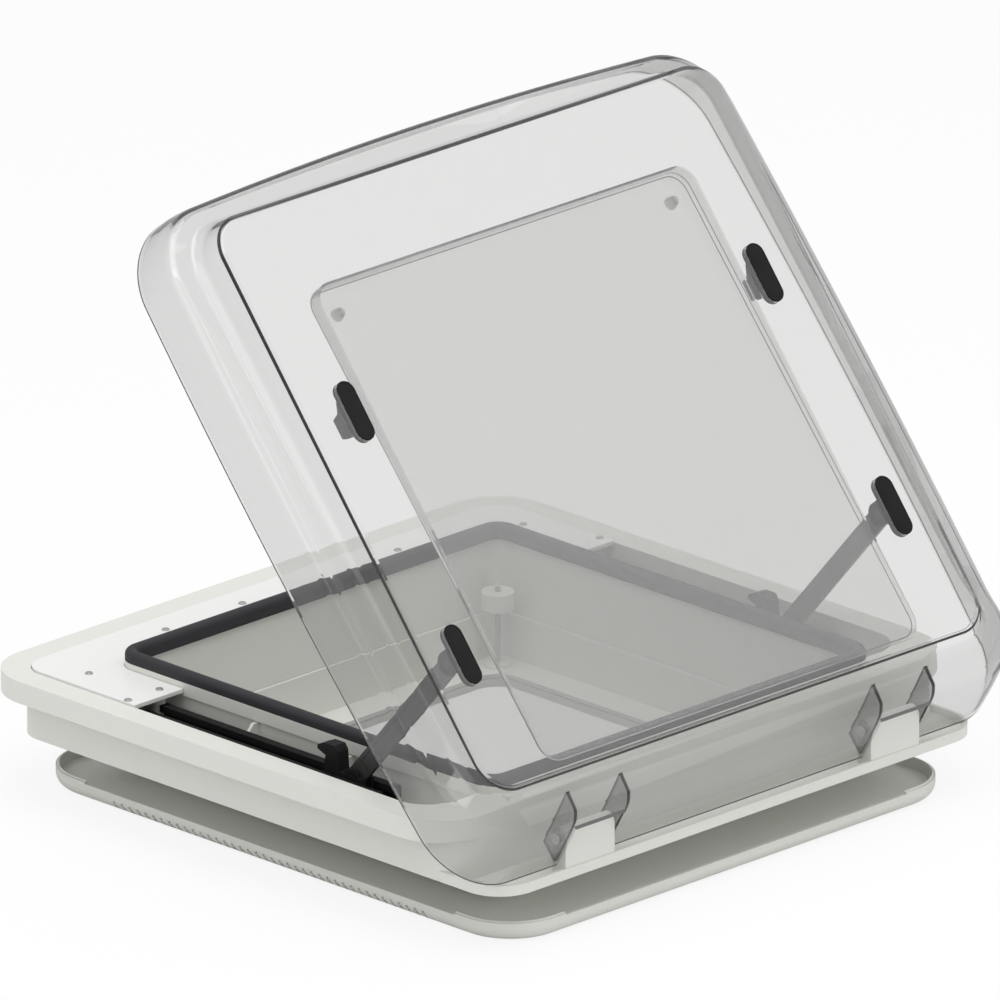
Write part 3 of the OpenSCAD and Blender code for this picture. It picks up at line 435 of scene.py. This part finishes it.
def lid_shell(lid):
    """The lid's shell: rings of the outer profile down to the rim, a thin line on the rim, then rings of the
    inner profile back up. Gives the solid, the faces in that line and those in the top face's round edge; both
    sets of faces take painted shade, a near-black line and a darker tint."""
    outer = flat_margin(filleted(lid_rows(lid), LID_EDGES), TOP_MARGIN)
    inner = flat_margin(inset_rows(outer[1:], lid), TOP_MARGIN)
    line = outer[-1:] + (inner[-1:] - outer[-1:]) * RIM_LINE / lid.wall
    rings = lid_rings(np.concatenate([outer, line, inner[::-1]]), lid)
    count = rings.shape[1]
    rim = (len(outer) - 1) * count + np.arange(count)
    bend = 2 * count + np.arange((FILLET_STEPS - 1) * count)
    return ring_solid(lid_to_row(rings)), rim, bend


def prism_x(outline, x0, x1):
    """A prism along x from x0 to x1 over an outline of (v, w) points."""
    ends = [np.column_stack([np.full(len(outline), x), outline]) for x in (x0, x1)]
    return ring_solid(lid_to_row(np.stack(ends)))


def ear_outline(lid, steps=14, margin=0.1 * MM):
    """Outline of a hinge ear: along the middle of the lid's wall from the shoulder to the rim, then from the
    heel A behind the pin back up to the shoulder B on the curve (1-t)^2 A + 2t(1-t) P + t^2 B."""
    rows = filleted(lid_rows(lid), LID_EDGES)
    skin = lid.wall / 2
    wall = rows[rows[:, 4] <= lid.shoulder_z + margin]
    w = wall[:, 4] + wall[:, 7] * lid.near_lift
    out = np.column_stack([wall[:, 1] + skin, w + np.where(w > 0, -skin, skin)])
    a = np.array([lid.pin_d - skin, skin - lid.rim_drop])
    p = np.array([lid.pin_d + skin, -lid.pin_d / 2])
    b = np.array([wall[0, 1] + skin, w[0] - lid.wall])
    t = np.linspace(0, 1, steps)[:, None]
    return np.concatenate([out, (1 - t) ** 2 * a + 2 * t * (1 - t) * p + t ** 2 * b])


def pill_rings(length_, width, rows, steps=16):
    """Rings of a pill along its second axis: two half circles. Each row gives its inset and its height."""
    a = np.concatenate([np.linspace(0, math.pi, steps + 1), np.linspace(math.pi, 2 * math.pi, steps + 1)])
    side = np.where(np.arange(len(a)) <= steps, 1, -1)
    inset, z = np.array(rows, float).T[:, :, None]
    r = width / 2 - inset
    return np.stack([r * np.cos(a), (length_ - width) / 2 * side + r * np.sin(a), z + 0 * a], axis=-1)


def on_top(rings, x, v, lid):
    """Places rings on the lid's top face at x and v, with their third axis along the face's normal."""
    t = math.atan(lid_tilt(lid))
    w = lid.top_near_z + (v - lid.top_near) * lid_tilt(lid)
    y, z = rings[..., 1], rings[..., 2]
    lid_points = np.stack([rings[..., 0] + x, v + y * math.cos(t) - z * math.sin(t),
                           w + y * math.sin(t) + z * math.cos(t)], axis=-1)
    return lid_to_row(lid_points)


def pad_places(fit):
    """x and v of the four pads: the two catches and the two arm brackets."""
    return [(s * x, v) for s in (-1, 1) for x, v in ((fit.catch_x, fit.catch_v), (fit.arm_x, fit.arm_v))]


def plug_places(lid, fit):
    """x and v of the two breather plugs."""
    return [(s * (lid.pane_x - fit.plug_in), lid.pane_far - fit.plug_in) for s in (-1, 1)]


def lathe(profile, x, v, steps=40):
    """A turned solid round the w axis at x, v: profile rows give radius and height."""
    a = np.linspace(0, 2 * math.pi, steps, endpoint=False)
    r, w = np.array(profile, float).T[:, :, None]
    return ring_solid(lid_to_row(np.stack([x + r * np.cos(a), v + r * np.sin(a), w + 0 * a], axis=-1)))


def box_ring(half_x, y0, y1, r, steps=10):
    """Points of a rectangle with round corners, as an array (points, 2)."""
    a = np.linspace(0, math.pi / 2, steps + 1)
    parts = []
    centres = [(half_x - r, y1 - r), (-half_x + r, y1 - r), (-half_x + r, y0 + r), (half_x - r, y0 + r)]
    for i, (cx, cy) in enumerate(centres):
        turn = a + i * math.pi / 2
        parts.append(np.column_stack([cx + r * np.cos(turn), cy + r * np.sin(turn)]))
    return np.concatenate(parts)


def level_rings(outlines, heights):
    """Rings (rows, points, 3) from flat outlines, each at its height."""
    return np.array([np.column_stack([ring, np.full(len(ring), z)]) for ring, z in zip(outlines, heights)])


# Finishes


def group_grain():
    """Node group of a moulded surface: two noises on Object coordinates give a shade of the colour, a roughness
    and a height. Colour = a mix of colour and a dark dust tone by shade * cloud; roughness = base + spread *
    cloud; height = grain."""
    name = "moulded_grain"
    if name in bpy.data.node_groups:
        return bpy.data.node_groups[name]
    g = bpy.data.node_groups.new(name, "ShaderNodeTree")
    number, tone = "NodeSocketFloat", "NodeSocketColor"
    for label, kind, default in (("Colour", tone, (0.8, 0.8, 0.8, 1)), ("Shade", number, 0.05),
                                 ("Roughness", number, 0.4), ("Spread", number, 0.1),
                                 ("Cloud scale", number, 12.0), ("Grain scale", number, 1500.0)):
        g.interface.new_socket(label, in_out="INPUT", socket_type=kind).default_value = default
    for label, kind in (("Colour", tone), ("Roughness", number), ("Height", number)):
        g.interface.new_socket(label, in_out="OUTPUT", socket_type=kind)
    n, link = g.nodes, g.links.new
    inp, out, coord = n.new("NodeGroupInput"), n.new("NodeGroupOutput"), n.new("ShaderNodeTexCoord")
    cloud, grain = n.new("ShaderNodeTexNoise"), n.new("ShaderNodeTexNoise")
    cloud.inputs["Detail"].default_value = 4
    grain.inputs["Detail"].default_value = 2
    link(inp.outputs["Cloud scale"], cloud.inputs["Scale"])
    link(inp.outputs["Grain scale"], grain.inputs["Scale"])
    for tex in (cloud, grain):
        link(coord.outputs["Object"], tex.inputs["Vector"])
    shade, level = n.new("ShaderNodeMath"), n.new("ShaderNodeMath")
    shade.operation = level.operation = "MULTIPLY"
    link(cloud.outputs["Fac"], shade.inputs[0])
    link(inp.outputs["Shade"], shade.inputs[1])
    mix = n.new("ShaderNodeMix")
    mix.data_type = "RGBA"
    link(shade.outputs[0], mix.inputs["Factor"])
    link(inp.outputs["Colour"], mix.inputs["A"])
    mix.inputs["B"].default_value = (0.05, 0.05, 0.045, 1)
    link(mix.outputs["Result"], out.inputs["Colour"])
    link(cloud.outputs["Fac"], level.inputs[0])
    link(inp.outputs["Spread"], level.inputs[1])
    rough = n.new("ShaderNodeMath")
    link(level.outputs[0], rough.inputs[0])
    link(inp.outputs["Roughness"], rough.inputs[1])
    link(rough.outputs[0], out.inputs["Roughness"])
    link(grain.outputs["Fac"], out.inputs["Height"])
    return g


def new_material(name):
    """An empty node material with its output and one principled shader."""
    m = bpy.data.materials.new(name)
    m.use_nodes = True
    m.node_tree.nodes.clear()
    out = m.node_tree.nodes.new("ShaderNodeOutputMaterial")
    p = m.node_tree.nodes.new("ShaderNodeBsdfPrincipled")
    m.node_tree.links.new(p.outputs["BSDF"], out.inputs["Surface"])
    return m, p, out


def add_grain(m, p, rgb, shade, rough, spread, cloud, grain):
    """Puts the grain group before a material's shader and gives it its values."""
    link = m.node_tree.links.new
    g = m.node_tree.nodes.new("ShaderNodeGroup")
    g.node_tree = group_grain()
    for label, value in (("Colour", (*rgb, 1)), ("Shade", shade), ("Roughness", rough), ("Spread", spread),
                         ("Cloud scale", cloud), ("Grain scale", grain)):
        g.inputs[label].default_value = value
    link(g.outputs["Colour"], p.inputs["Base Color"])
    link(g.outputs["Roughness"], p.inputs["Roughness"])
    return g


def moulded(name, rgb, shade, rough, spread, cloud, grain, bump, metallic=0.0, specular=0.5, edge=0.6 * MM):
    """A moulded or worked surface that takes its colour, roughness and relief from the grain group. Its edges
    are shaded as if rounded to the radius edge."""
    if name in bpy.data.materials:
        return bpy.data.materials[name]
    m, p, _ = new_material(name)
    n, link = m.node_tree.nodes, m.node_tree.links.new
    g = add_grain(m, p, rgb, shade, rough, spread, cloud, grain)
    b = n.new("ShaderNodeBump")
    b.inputs["Strength"].default_value = bump
    b.inputs["Distance"].default_value = 0.2 * MM
    link(g.outputs["Height"], b.inputs["Height"])
    soft = n.new("ShaderNodeBevel")
    soft.inputs["Radius"].default_value = edge
    link(soft.outputs["Normal"], b.inputs["Normal"])
    link(b.outputs["Normal"], p.inputs["Normal"])
    p.inputs["Metallic"].default_value = metallic
    p.inputs["Specular IOR Level"].default_value = specular
    return m


def white_moulding():
    """Warm white moulded plastic with a fine texture."""
    return moulded("white_moulding", settings().finish.white, shade=0.03, rough=0.36, spread=0.12, cloud=9,
                   grain=1400, bump=0.12)


def plate_white():
    """Clean white plastic of the cover plate, a little smoother than the frames."""
    return moulded("plate_white", settings().finish.plate, shade=0.02, rough=0.3, spread=0.1, cloud=9,
                   grain=1400, bump=0.08)


def black_moulding():
    """Black plastic of the rails, carriages, brackets and pads."""
    return moulded("black_moulding", settings().finish.black, shade=0.25, rough=0.5, spread=0.15, cloud=40,
                   grain=1800, bump=0.08, specular=0.1)


def steel(name, rgb):
    """Fine-grained metal of the screws and pins."""
    return moulded(name, rgb, shade=0.15, rough=0.4, spread=0.15, cloud=300, grain=3000, bump=0.15,
                   metallic=1.0)


def acrylic(name, tint, density, milk):
    """Tinted clear acrylic: it transmits, keeps a little milkiness, and absorbs along the way through the wall.
    Its low IOR bends little of what lies behind, and a coat gives acrylic's gloss. Shadow and diffuse rays pass
    as through tinted film, so that light reaches what lies under the lid."""
    if name in bpy.data.materials:
        return bpy.data.materials[name]
    m, p, out = new_material(name)
    n, link = m.node_tree.nodes, m.node_tree.links.new
    p.inputs["Base Color"].default_value = (*tint, 1)
    p.inputs["Roughness"].default_value = 0.0
    p.inputs["IOR"].default_value = 1.06
    p.inputs["Coat Weight"].default_value = 1.0
    p.inputs["Coat IOR"].default_value = 1.49
    p.inputs["Coat Roughness"].default_value = 0.02
    p.inputs["Transmission Weight"].default_value = 1 - milk
    clear, path, mix, any_ray = (n.new(k) for k in ("ShaderNodeBsdfTransparent", "ShaderNodeLightPath",
                                                    "ShaderNodeMixShader", "ShaderNodeMath"))
    clear.inputs["Color"].default_value = (0.98, 0.98, 0.98, 1)
    any_ray.operation = "MAXIMUM"
    link(path.outputs["Is Shadow Ray"], any_ray.inputs[0])
    link(path.outputs["Is Diffuse Ray"], any_ray.inputs[1])
    link(any_ray.outputs[0], mix.inputs["Fac"])
    link(p.outputs["BSDF"], mix.inputs[1])
    link(clear.outputs["BSDF"], mix.inputs[2])
    link(mix.outputs["Shader"], out.inputs["Surface"])
    volume = n.new("ShaderNodeVolumeAbsorption")
    volume.inputs["Color"].default_value = (0.45, 0.45, 0.45, 1)
    volume.inputs["Density"].default_value = density
    link(volume.outputs["Volume"], out.inputs["Volume"])
    return m


def sawn_edge_painted_shade():
    """Narrow face where the acrylic is cut and its edge is seen end on. Its near-black colour is painted shade
    that stands in for how dark the edge looks end on.
    """
    return moulded("acrylic_edge_painted_shade", settings().finish.edge, shade=0.1, rough=0.3, spread=0.1, cloud=60,
                   grain=1500, bump=0.1, specular=0.3)


def net_material(fin, fit):
    """Fly screen: two crossed waves on Object coordinates leave thin threads opaque and the gaps open."""
    m, p, _ = new_material("screen_threads")
    n, link = m.node_tree.nodes, m.node_tree.links.new
    add_grain(m, p, fin.net, shade=0.2, rough=0.6, spread=0.2, cloud=60, grain=2500)
    coord, split = n.new("ShaderNodeTexCoord"), n.new("ShaderNodeSeparateXYZ")
    link(coord.outputs["Object"], split.inputs[0])
    masks = []
    for axis in "XY":
        wave, test = n.new("ShaderNodeMath"), n.new("ShaderNodeMath")
        wave.operation, test.operation = "PINGPONG", "LESS_THAN"
        link(split.outputs[axis], wave.inputs[0])
        wave.inputs[1].default_value = fit.net_pitch / 2
        link(wave.outputs[0], test.inputs[0])
        test.inputs[1].default_value = fit.net_pitch * THREAD_SHARE
        masks.append(test)
    both = n.new("ShaderNodeMath")
    both.operation = "MAXIMUM"
    for i, test in enumerate(masks):
        link(test.outputs[0], both.inputs[i])
    link(both.outputs[0], p.inputs["Alpha"])
    return m


def seen_ray(tree, share):
    """Share times whether a ray comes from the camera or through glass."""
    n, link = tree.nodes, tree.links.new
    path, seen, scale = (n.new(k) for k in ("ShaderNodeLightPath", "ShaderNodeMath", "ShaderNodeMath"))
    seen.operation, scale.operation = "MAXIMUM", "MULTIPLY"
    link(path.outputs["Is Camera Ray"], seen.inputs[0])
    link(path.outputs["Is Transmission Ray"], seen.inputs[1])
    link(seen.outputs[0], scale.inputs[0])
    scale.inputs[1].default_value = share
    return scale


# Operators


class ROOFVENT_OT_mouldings(bpy.types.Operator):
    """Gives the two frames, the cover plate and the screw caps their white moulded finish"""

    bl_idname = "roof_vent.mouldings"
    bl_label = "White mouldings"

    def execute(self, context):
        dress(WHITE_NODES, white_moulding())
        dress(("cover_plate",), plate_white())
        return {"FINISHED"}


class ROOFVENT_OT_seal(bpy.types.Operator):
    """Gives the seal its rubber"""

    bl_idname = "roof_vent.seal"
    bl_label = "Rubber seal"

    def execute(self, context):
        dress(("gasket",), moulded("seal_rubber", settings().finish.rubber, shade=0.3, rough=0.55, spread=0.2,
                                   cloud=50, grain=1500, bump=0.06, specular=0.12))
        return {"FINISHED"}


class ROOFVENT_OT_rails(bpy.types.Operator):
    """Gives rails, carriages and brackets their black plastic"""

    bl_idname = "roof_vent.rails"
    bl_label = "Rails, carriages and brackets"

    def execute(self, context):
        dress(RAIL_NODES + BRACKET_NODES, black_moulding())
        return {"FINISHED"}


class ROOFVENT_OT_arms(bpy.types.Operator):
    """Gives the two arms their dark grey plastic"""

    bl_idname = "roof_vent.arms"
    bl_label = "Arms"

    def execute(self, context):
        dress(ARM_NODES, moulded("arm_grey", settings().finish.grey, shade=0.2, rough=0.45, spread=0.15,
                                 cloud=30, grain=1600, bump=0.2, specular=0.12))
        return {"FINISHED"}


class ROOFVENT_OT_metal(bpy.types.Operator):
    """Gives screws and pins their steel"""

    bl_idname = "roof_vent.metal"
    bl_label = "Screws and pins"

    def execute(self, context):
        fin = settings().finish
        dress(STEEL_NODES, steel("screw_steel", fin.steel))
        dress(DARK_PIN_NODES, steel("blackened_steel", fin.pin))
        return {"FINISHED"}


class ROOFVENT_OT_lid(bpy.types.Operator):
    """Builds the clear lid with its hinge ears, notches and pad holes"""

    bl_idname = "roof_vent.lid"
    bl_label = "Clear lid"

    def execute(self, context):
        lid, fit, fin, _ = settings()
        # Painted shade: the near-black finish on the rim line, the notch cuts and the ears' sides
        finish = (acrylic("clear_lid", fin.clear, *LID_BODY), sawn_edge_painted_shade(),
                  # Painted shade: a darker copy of the acrylic for the top face's round edge and the ears' flat
                  # faces
                  acrylic("lid_bend_painted_shade", fin.bend, *LID_BODY))
        shell, rim, bend = lid_shell(lid)
        obj = mark_edges(make_mesh("lid_shell", *shell), rim, finish, bend)
        knuckles = (-lid.knuckle_x, lid.knuckle_x)
        outline = ear_outline(lid)
        ears = joined([prism_x(outline, x + e, x + e + lid.ear_t)
                       for x in knuckles for e in (lid.ear_x, -lid.ear_x - lid.ear_t)])
        # The ears' sides take the near-black painted shade and their flat faces the darker painted tint
        sides, faces = np.arange(len(ears[1])), len(ears[1]) + np.arange(len(ears[2]))
        carve(obj, mark_edges(make_mesh("ears", *ears), sides, finish, faces), "UNION")
        front, back, low = -lid.rim_near - 3 * PAST, NOTCH_BACK, -lid.rim_drop - PAST
        notch = np.array([[front, low], [back, low], [back, lid.notch_w], [front, lid.notch_w]])
        notches = joined([prism_x(notch, x - lid.ear_x, x + lid.ear_x) for x in knuckles])
        cut = np.arange(len(notches[1]))
        carve(obj, mark_edges(make_mesh("notches", *notches), cut, finish), "DIFFERENCE")
        hole = pill_rings(fit.pad_l + 2 * fit.pad_gap, fit.pad_w + 2 * fit.pad_gap,
                          [(0, -lid.wall - PAST), (0, PAST)])
        holes = [ring_solid(on_top(hole, x, v, lid)) for x, v in pad_places(fit)]
        turn = np.linspace(0, 2 * math.pi, 32, endpoint=False)
        bore = np.column_stack([np.cos(turn), np.sin(turn)]) * lid.pin_d / 2
        span = lid.ear_x + 2 * lid.ear_t
        holes += [prism_x(bore, x - span, x + span) for x in knuckles]
        carve(obj, mark_edges(make_mesh("holes", *joined(holes)), [], finish), "DIFFERENCE")
        finish_piece(obj, None, "lid", "clear_acrylic", "dome", angle=28)
        return {"FINISHED"}


class ROOFVENT_OT_pane(bpy.types.Operator):
    """Builds the second pane: a shallow clear tray under the lid with a round lower edge"""

    bl_idname = "roof_vent.pane"
    bl_label = "Second pane"

    def execute(self, context):
        lid, fit, fin, _ = settings()
        r, t, low = PANE_ROUND, lid.pane_t, lid.pane_w
        turn = np.linspace(0, math.pi / 2, PANE_STEPS)[::-1]
        outer = [(r - r * math.cos(a), low + r - r * math.sin(a)) for a in turn] + [(0, None)]
        inner = [(t, None)] + [(r - (r - t) * math.cos(a), low + r - (r - t) * math.sin(a)) for a in turn[::-1]]
        rings = []
        for inset, height in [(2 * r, low)] + outer + inner + [(2 * r, low + t)]:
            ring = box_ring(lid.pane_x - inset, lid.pane_near + inset, lid.pane_far - inset,
                            max(lid.pane_r - inset, MM))
            under = lid.top_near_z + (ring[:, 1] - lid.top_near) * lid_tilt(lid) - lid.wall - PANE_SEAT
            w = under if height is None else np.minimum(np.full(len(ring), height), under)
            rings.append(np.column_stack([ring, w]))
        pane, count = ring_solid(lid_to_row(np.array(rings))), len(rings[0])
        # Painted shade: a darker copy of the acrylic on two rows of the round edge draws the pane's two border
        # lines
        finish = (acrylic("clear_pane", fin.clear, *PANE_BODY), acrylic("pane_painted_shade_line", fin.line, *PANE_BODY))
        lines = np.concatenate([k * count + np.arange(count) for k in (1, PANE_STEPS - 1)])
        obj = mark_edges(make_mesh("second_pane", *pane), lines, finish)
        bore = fit.plug_d / 2 + PLUG_PLAY
        hole = [(bore, low - PAST), (bore, low + t + PAST)]
        holes = make_mesh("plug_holes", *joined([lathe(hole, x, v) for x, v in plug_places(lid, fit)]))
        carve(obj, mark_edges(holes, [], finish), "DIFFERENCE")
        finish_piece(obj, None, "lid", "clear_acrylic", "inner_pane", angle=28)
        return {"FINISHED"}


class ROOFVENT_OT_plugs(bpy.types.Operator):
    """Builds the two breather plugs of the pane: a head, a stem and a collar"""

    bl_idname = "roof_vent.plugs"
    bl_label = "Breather plugs"

    def execute(self, context):
        lid, fit, fin, _ = settings()
        profile = PLUG_PROFILE + (fit.plug_d / 2, lid.pane_w)
        obj = make_mesh("plugs", *joined([lathe(profile, x, v) for x, v in plug_places(lid, fit)]))
        tinted = acrylic("plug_clear", fin.plug, *PLUG_BODY)
        finish_piece(obj, tinted, "lid", "clear_acrylic", "breather_plugs")
        return {"FINISHED"}


class ROOFVENT_OT_pads(bpy.types.Operator):
    """Builds the four black pads in the lid's top face, each with a round edge and a shallow crown"""

    bl_idname = "roof_vent.pads"
    bl_label = "Pads"

    def execute(self, context):
        lid, fit, _, _ = settings()
        rings = pill_rings(fit.pad_l, fit.pad_w, np.concatenate([[(0, -lid.wall)], PAD_PROFILE]))
        solids = [ring_solid(on_top(rings, x, v, lid)) for x, v in pad_places(fit)]
        obj = make_mesh("pads", *joined(solids))
        finish_piece(obj, black_moulding(), "lid", "black_plastic", "top_pads", angle=40)
        return {"FINISHED"}


class ROOFVENT_OT_screen(bpy.types.Operator):
    """Builds the fly screen: a fine net stretched in a thin frame, sagging by sag (1 - x^2) (1 - y^2)"""

    bl_idname = "roof_vent.screen"
    bl_label = "Fly screen"

    def execute(self, context):
        _, fit, fin, _ = settings()
        low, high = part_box("fly_screen")
        rim, net_in, r, round_, cells, sag = 6 * MM, 3 * MM, 20 * MM, 0.3 * MM, 40, 0.5 * MM
        z0, z1 = low.z, high.z
        rows = [(0, z0), (0, z1 - round_), (round_, z1), (rim - round_, z1), (rim, z1 - round_), (rim, z0)]
        outlines = [box_ring(high.x - i, low.y + i, high.y - i, r - i) for i, _ in rows]
        obj = make_mesh("screen_frame", *ring_loop(level_rings(outlines, [z for _, z in rows])))
        edge = moulded("screen_edge", fin.net, shade=0.1, rough=0.5, spread=0.1, cloud=30, grain=1500,
                       bump=0.15)
        finish_piece(obj, edge, "frame", "screen_net")
        half_x, half_y = high.x - net_in, high.y - net_in
        u = np.linspace(-1, 1, cells + 1)
        gx, gy = np.meshgrid(u, u, indexing="ij")
        mid = (z0 + z1) / 2 - sag * (1 - gx * gx) * (1 - gy * gy)
        points = np.stack([gx * half_x, gy * half_y, mid], axis=-1).reshape(-1, 3)
        k, i = np.meshgrid(np.arange(cells), np.arange(cells), indexing="ij")
        first, after = k * (cells + 1) + i, (k + 1) * (cells + 1) + i
        quads = np.stack([first, after, after + 1, first + 1], axis=-1).reshape(-1, 4)
        net = make_mesh("screen_net", points, quads)
        finish_piece(net, net_material(fin, fit), "frame", "screen_net", "fly_screen")
        return {"FINISHED"}


class ROOFVENT_OT_tray(bpy.types.Operator):
    """Builds the inner frame's upper face, which falls from the sleeve towards its edge"""

    bl_idname = "roof_vent.tray"
    bl_label = "Inner frame's upper face"

    def execute(self, context):
        fit = settings().fit
        _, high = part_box("inner_frame")
        half_x, half_y = high.x - fit.tray_in, high.y - fit.tray_in
        outside = box_ring(half_x, -half_y, half_y, fit.tray_r)
        inside = box_ring(fit.sleeve_x, -fit.sleeve_y, fit.sleeve_y, fit.sleeve_r)
        top, edge = fit.tray_z, fit.tray_z - fit.tray_fall
        heights = (edge - fit.tray_t, edge, top, top - fit.tray_t)
        obj = make_mesh("tray", *ring_loop(level_rings((outside, outside, inside, inside), heights)))
        finish_piece(obj, white_moulding(), "frame", "frame_white")
        return {"FINISHED"}


class ROOFVENT_OT_stage(bpy.types.Operator):
    """Sets the floor, the light and the camera"""

    bl_idname = "roof_vent.stage"
    bl_label = "Stage"

    def execute(self, context):
        st = settings().stage
        context.scene.view_settings.view_transform = "Standard"
        self.floor(st)
        self.world(st)
        self.lights()
        self.camera(st)
        return {"FINISHED"}

    def floor(self, st):
        """A wide pale floor just under the inner frame, near white to the camera and through glass, that
        keeps the shadow."""
        half, z = FLOOR_HALF, CAD_BOX[0].z - FLOOR_GAP
        corners = np.array([[-half, -half, z], [half, -half, z], [half, half, z], [-half, half, z]])
        mesh = bpy.data.meshes.new("floor")
        mesh.from_pydata(corners.tolist(), [], [[0, 1, 2, 3]])
        obj = bpy.data.objects.new("floor", mesh)
        bpy.context.scene.collection.objects.link(obj)
        m, p, out = new_material("pale_floor")
        n, link = m.node_tree.nodes, m.node_tree.links.new
        p.inputs["Base Color"].default_value = (*st.floor, 1)
        p.inputs["Roughness"].default_value = 0.9
        p.inputs["Specular IOR Level"].default_value = 0.0
        glow, mix = n.new("ShaderNodeEmission"), n.new("ShaderNodeMixShader")
        link(seen_ray(m.node_tree, FLOOR_SEEN).outputs[0], mix.inputs["Fac"])
        link(p.outputs["BSDF"], mix.inputs[1])
        link(glow.outputs["Emission"], mix.inputs[2])
        link(mix.outputs["Shader"], out.inputs["Surface"])
        mesh.materials.append(m)

    def world(self, st):
        """An even sky: white to the camera and through glass, and softer as light."""
        world = bpy.data.worlds.new("studio")
        bpy.context.scene.world = world
        world.use_nodes = True
        tree = world.node_tree
        back = next(n for n in tree.nodes if n.type == "BACKGROUND")
        back.inputs["Color"].default_value = (1, 1, 1, 1)
        level = tree.nodes.new("ShaderNodeMapRange")
        tree.links.new(seen_ray(tree, 1.0).outputs[0], level.inputs["Value"])
        level.inputs["To Min"].default_value = st.sky
        level.inputs["To Max"].default_value = 1.0
        tree.links.new(level.outputs["Result"], back.inputs["Strength"])

    def lights(self):
        """Three soft area lights: a wide one overhead, one from the left and a weak one from the right."""
        for name, place, size, power in LIGHTS:
            data = bpy.data.lights.new(name, "AREA")
            data.energy, data.size = power, size
            lamp = bpy.data.objects.new(name, data)
            bpy.context.scene.collection.objects.link(lamp)
            aim = Vector(LIGHT_AIM) - Vector(place)
            lamp.matrix_world = Matrix.Translation(place) @ aim.to_track_quat("-Z", "Y").to_matrix().to_4x4()

    def camera(self, st):
        """A long lens at the photograph's angle: 45 degrees to the left of the hinge side, 20 degrees up."""
        data = bpy.data.cameras.new("camera")
        data.lens, data.sensor_width = st.lens, SENSOR
        distance = st.view_width * st.lens / SENSOR
        data.clip_start, data.clip_end = 0.1, 3 * distance
        cam = bpy.data.objects.new("camera", data)
        bpy.context.scene.collection.objects.link(cam)
        az, el = CAMERA_TURN
        back = Vector((math.sin(az) * math.cos(el), -math.cos(az) * math.cos(el), math.sin(el)))
        right = Vector((math.cos(az), math.sin(az), 0))
        up = back.cross(right)
        place = right * CAMERA_SHIFT[0] + up * CAMERA_SHIFT[1] + back * distance
        cam.matrix_world = Matrix.Translation(place) @ (-back).to_track_quat("-Z", "Y").to_matrix().to_4x4()
        bpy.context.scene.camera = cam


class ROOFVENT_PT_panel(bpy.types.Panel):
    """Lists the steps that dress the vent"""

    bl_idname = "ROOFVENT_PT_panel"
    bl_label = "Roof vent"
    bl_space_type = "VIEW_3D"
    bl_region_type = "UI"
    bl_category = "Roof vent"

    def draw(self, context):
        for cls in STEPS:
            self.layout.operator(cls.bl_idname)


GROUPS = (("roof_vent_lid", RoofVentLid), ("roof_vent_fittings", RoofVentFittings),
          ("roof_vent_finish", RoofVentFinish), ("roof_vent_stage", RoofVentStage))
STEPS = (ROOFVENT_OT_mouldings, ROOFVENT_OT_seal, ROOFVENT_OT_rails, ROOFVENT_OT_arms, ROOFVENT_OT_metal,
         ROOFVENT_OT_lid, ROOFVENT_OT_pane, ROOFVENT_OT_plugs, ROOFVENT_OT_pads, ROOFVENT_OT_screen,
         ROOFVENT_OT_tray, ROOFVENT_OT_stage)


def register():
    """Registers the settings, the steps and the panel."""
    for name, cls in GROUPS:
        bpy.utils.register_class(cls)
        setattr(bpy.types.Scene, name, bpy.props.PointerProperty(type=cls))
    for cls in (*STEPS, ROOFVENT_PT_panel):
        bpy.utils.register_class(cls)


def unregister():
    """Takes the panel, the steps and the settings away again."""
    for cls in (ROOFVENT_PT_panel, *STEPS[::-1]):
        bpy.utils.unregister_class(cls)
    for name, cls in GROUPS[::-1]:
        delattr(bpy.types.Scene, name)
        bpy.utils.unregister_class(cls)


def main():
    register()
    steps = bpy.ops.roof_vent
    for step in (steps.mouldings, steps.seal, steps.rails, steps.arms, steps.metal, steps.lid, steps.pane,
                 steps.plugs, steps.pads, steps.screen, steps.tray, steps.stage):
        step()


if __name__ == "__main__":
    main()
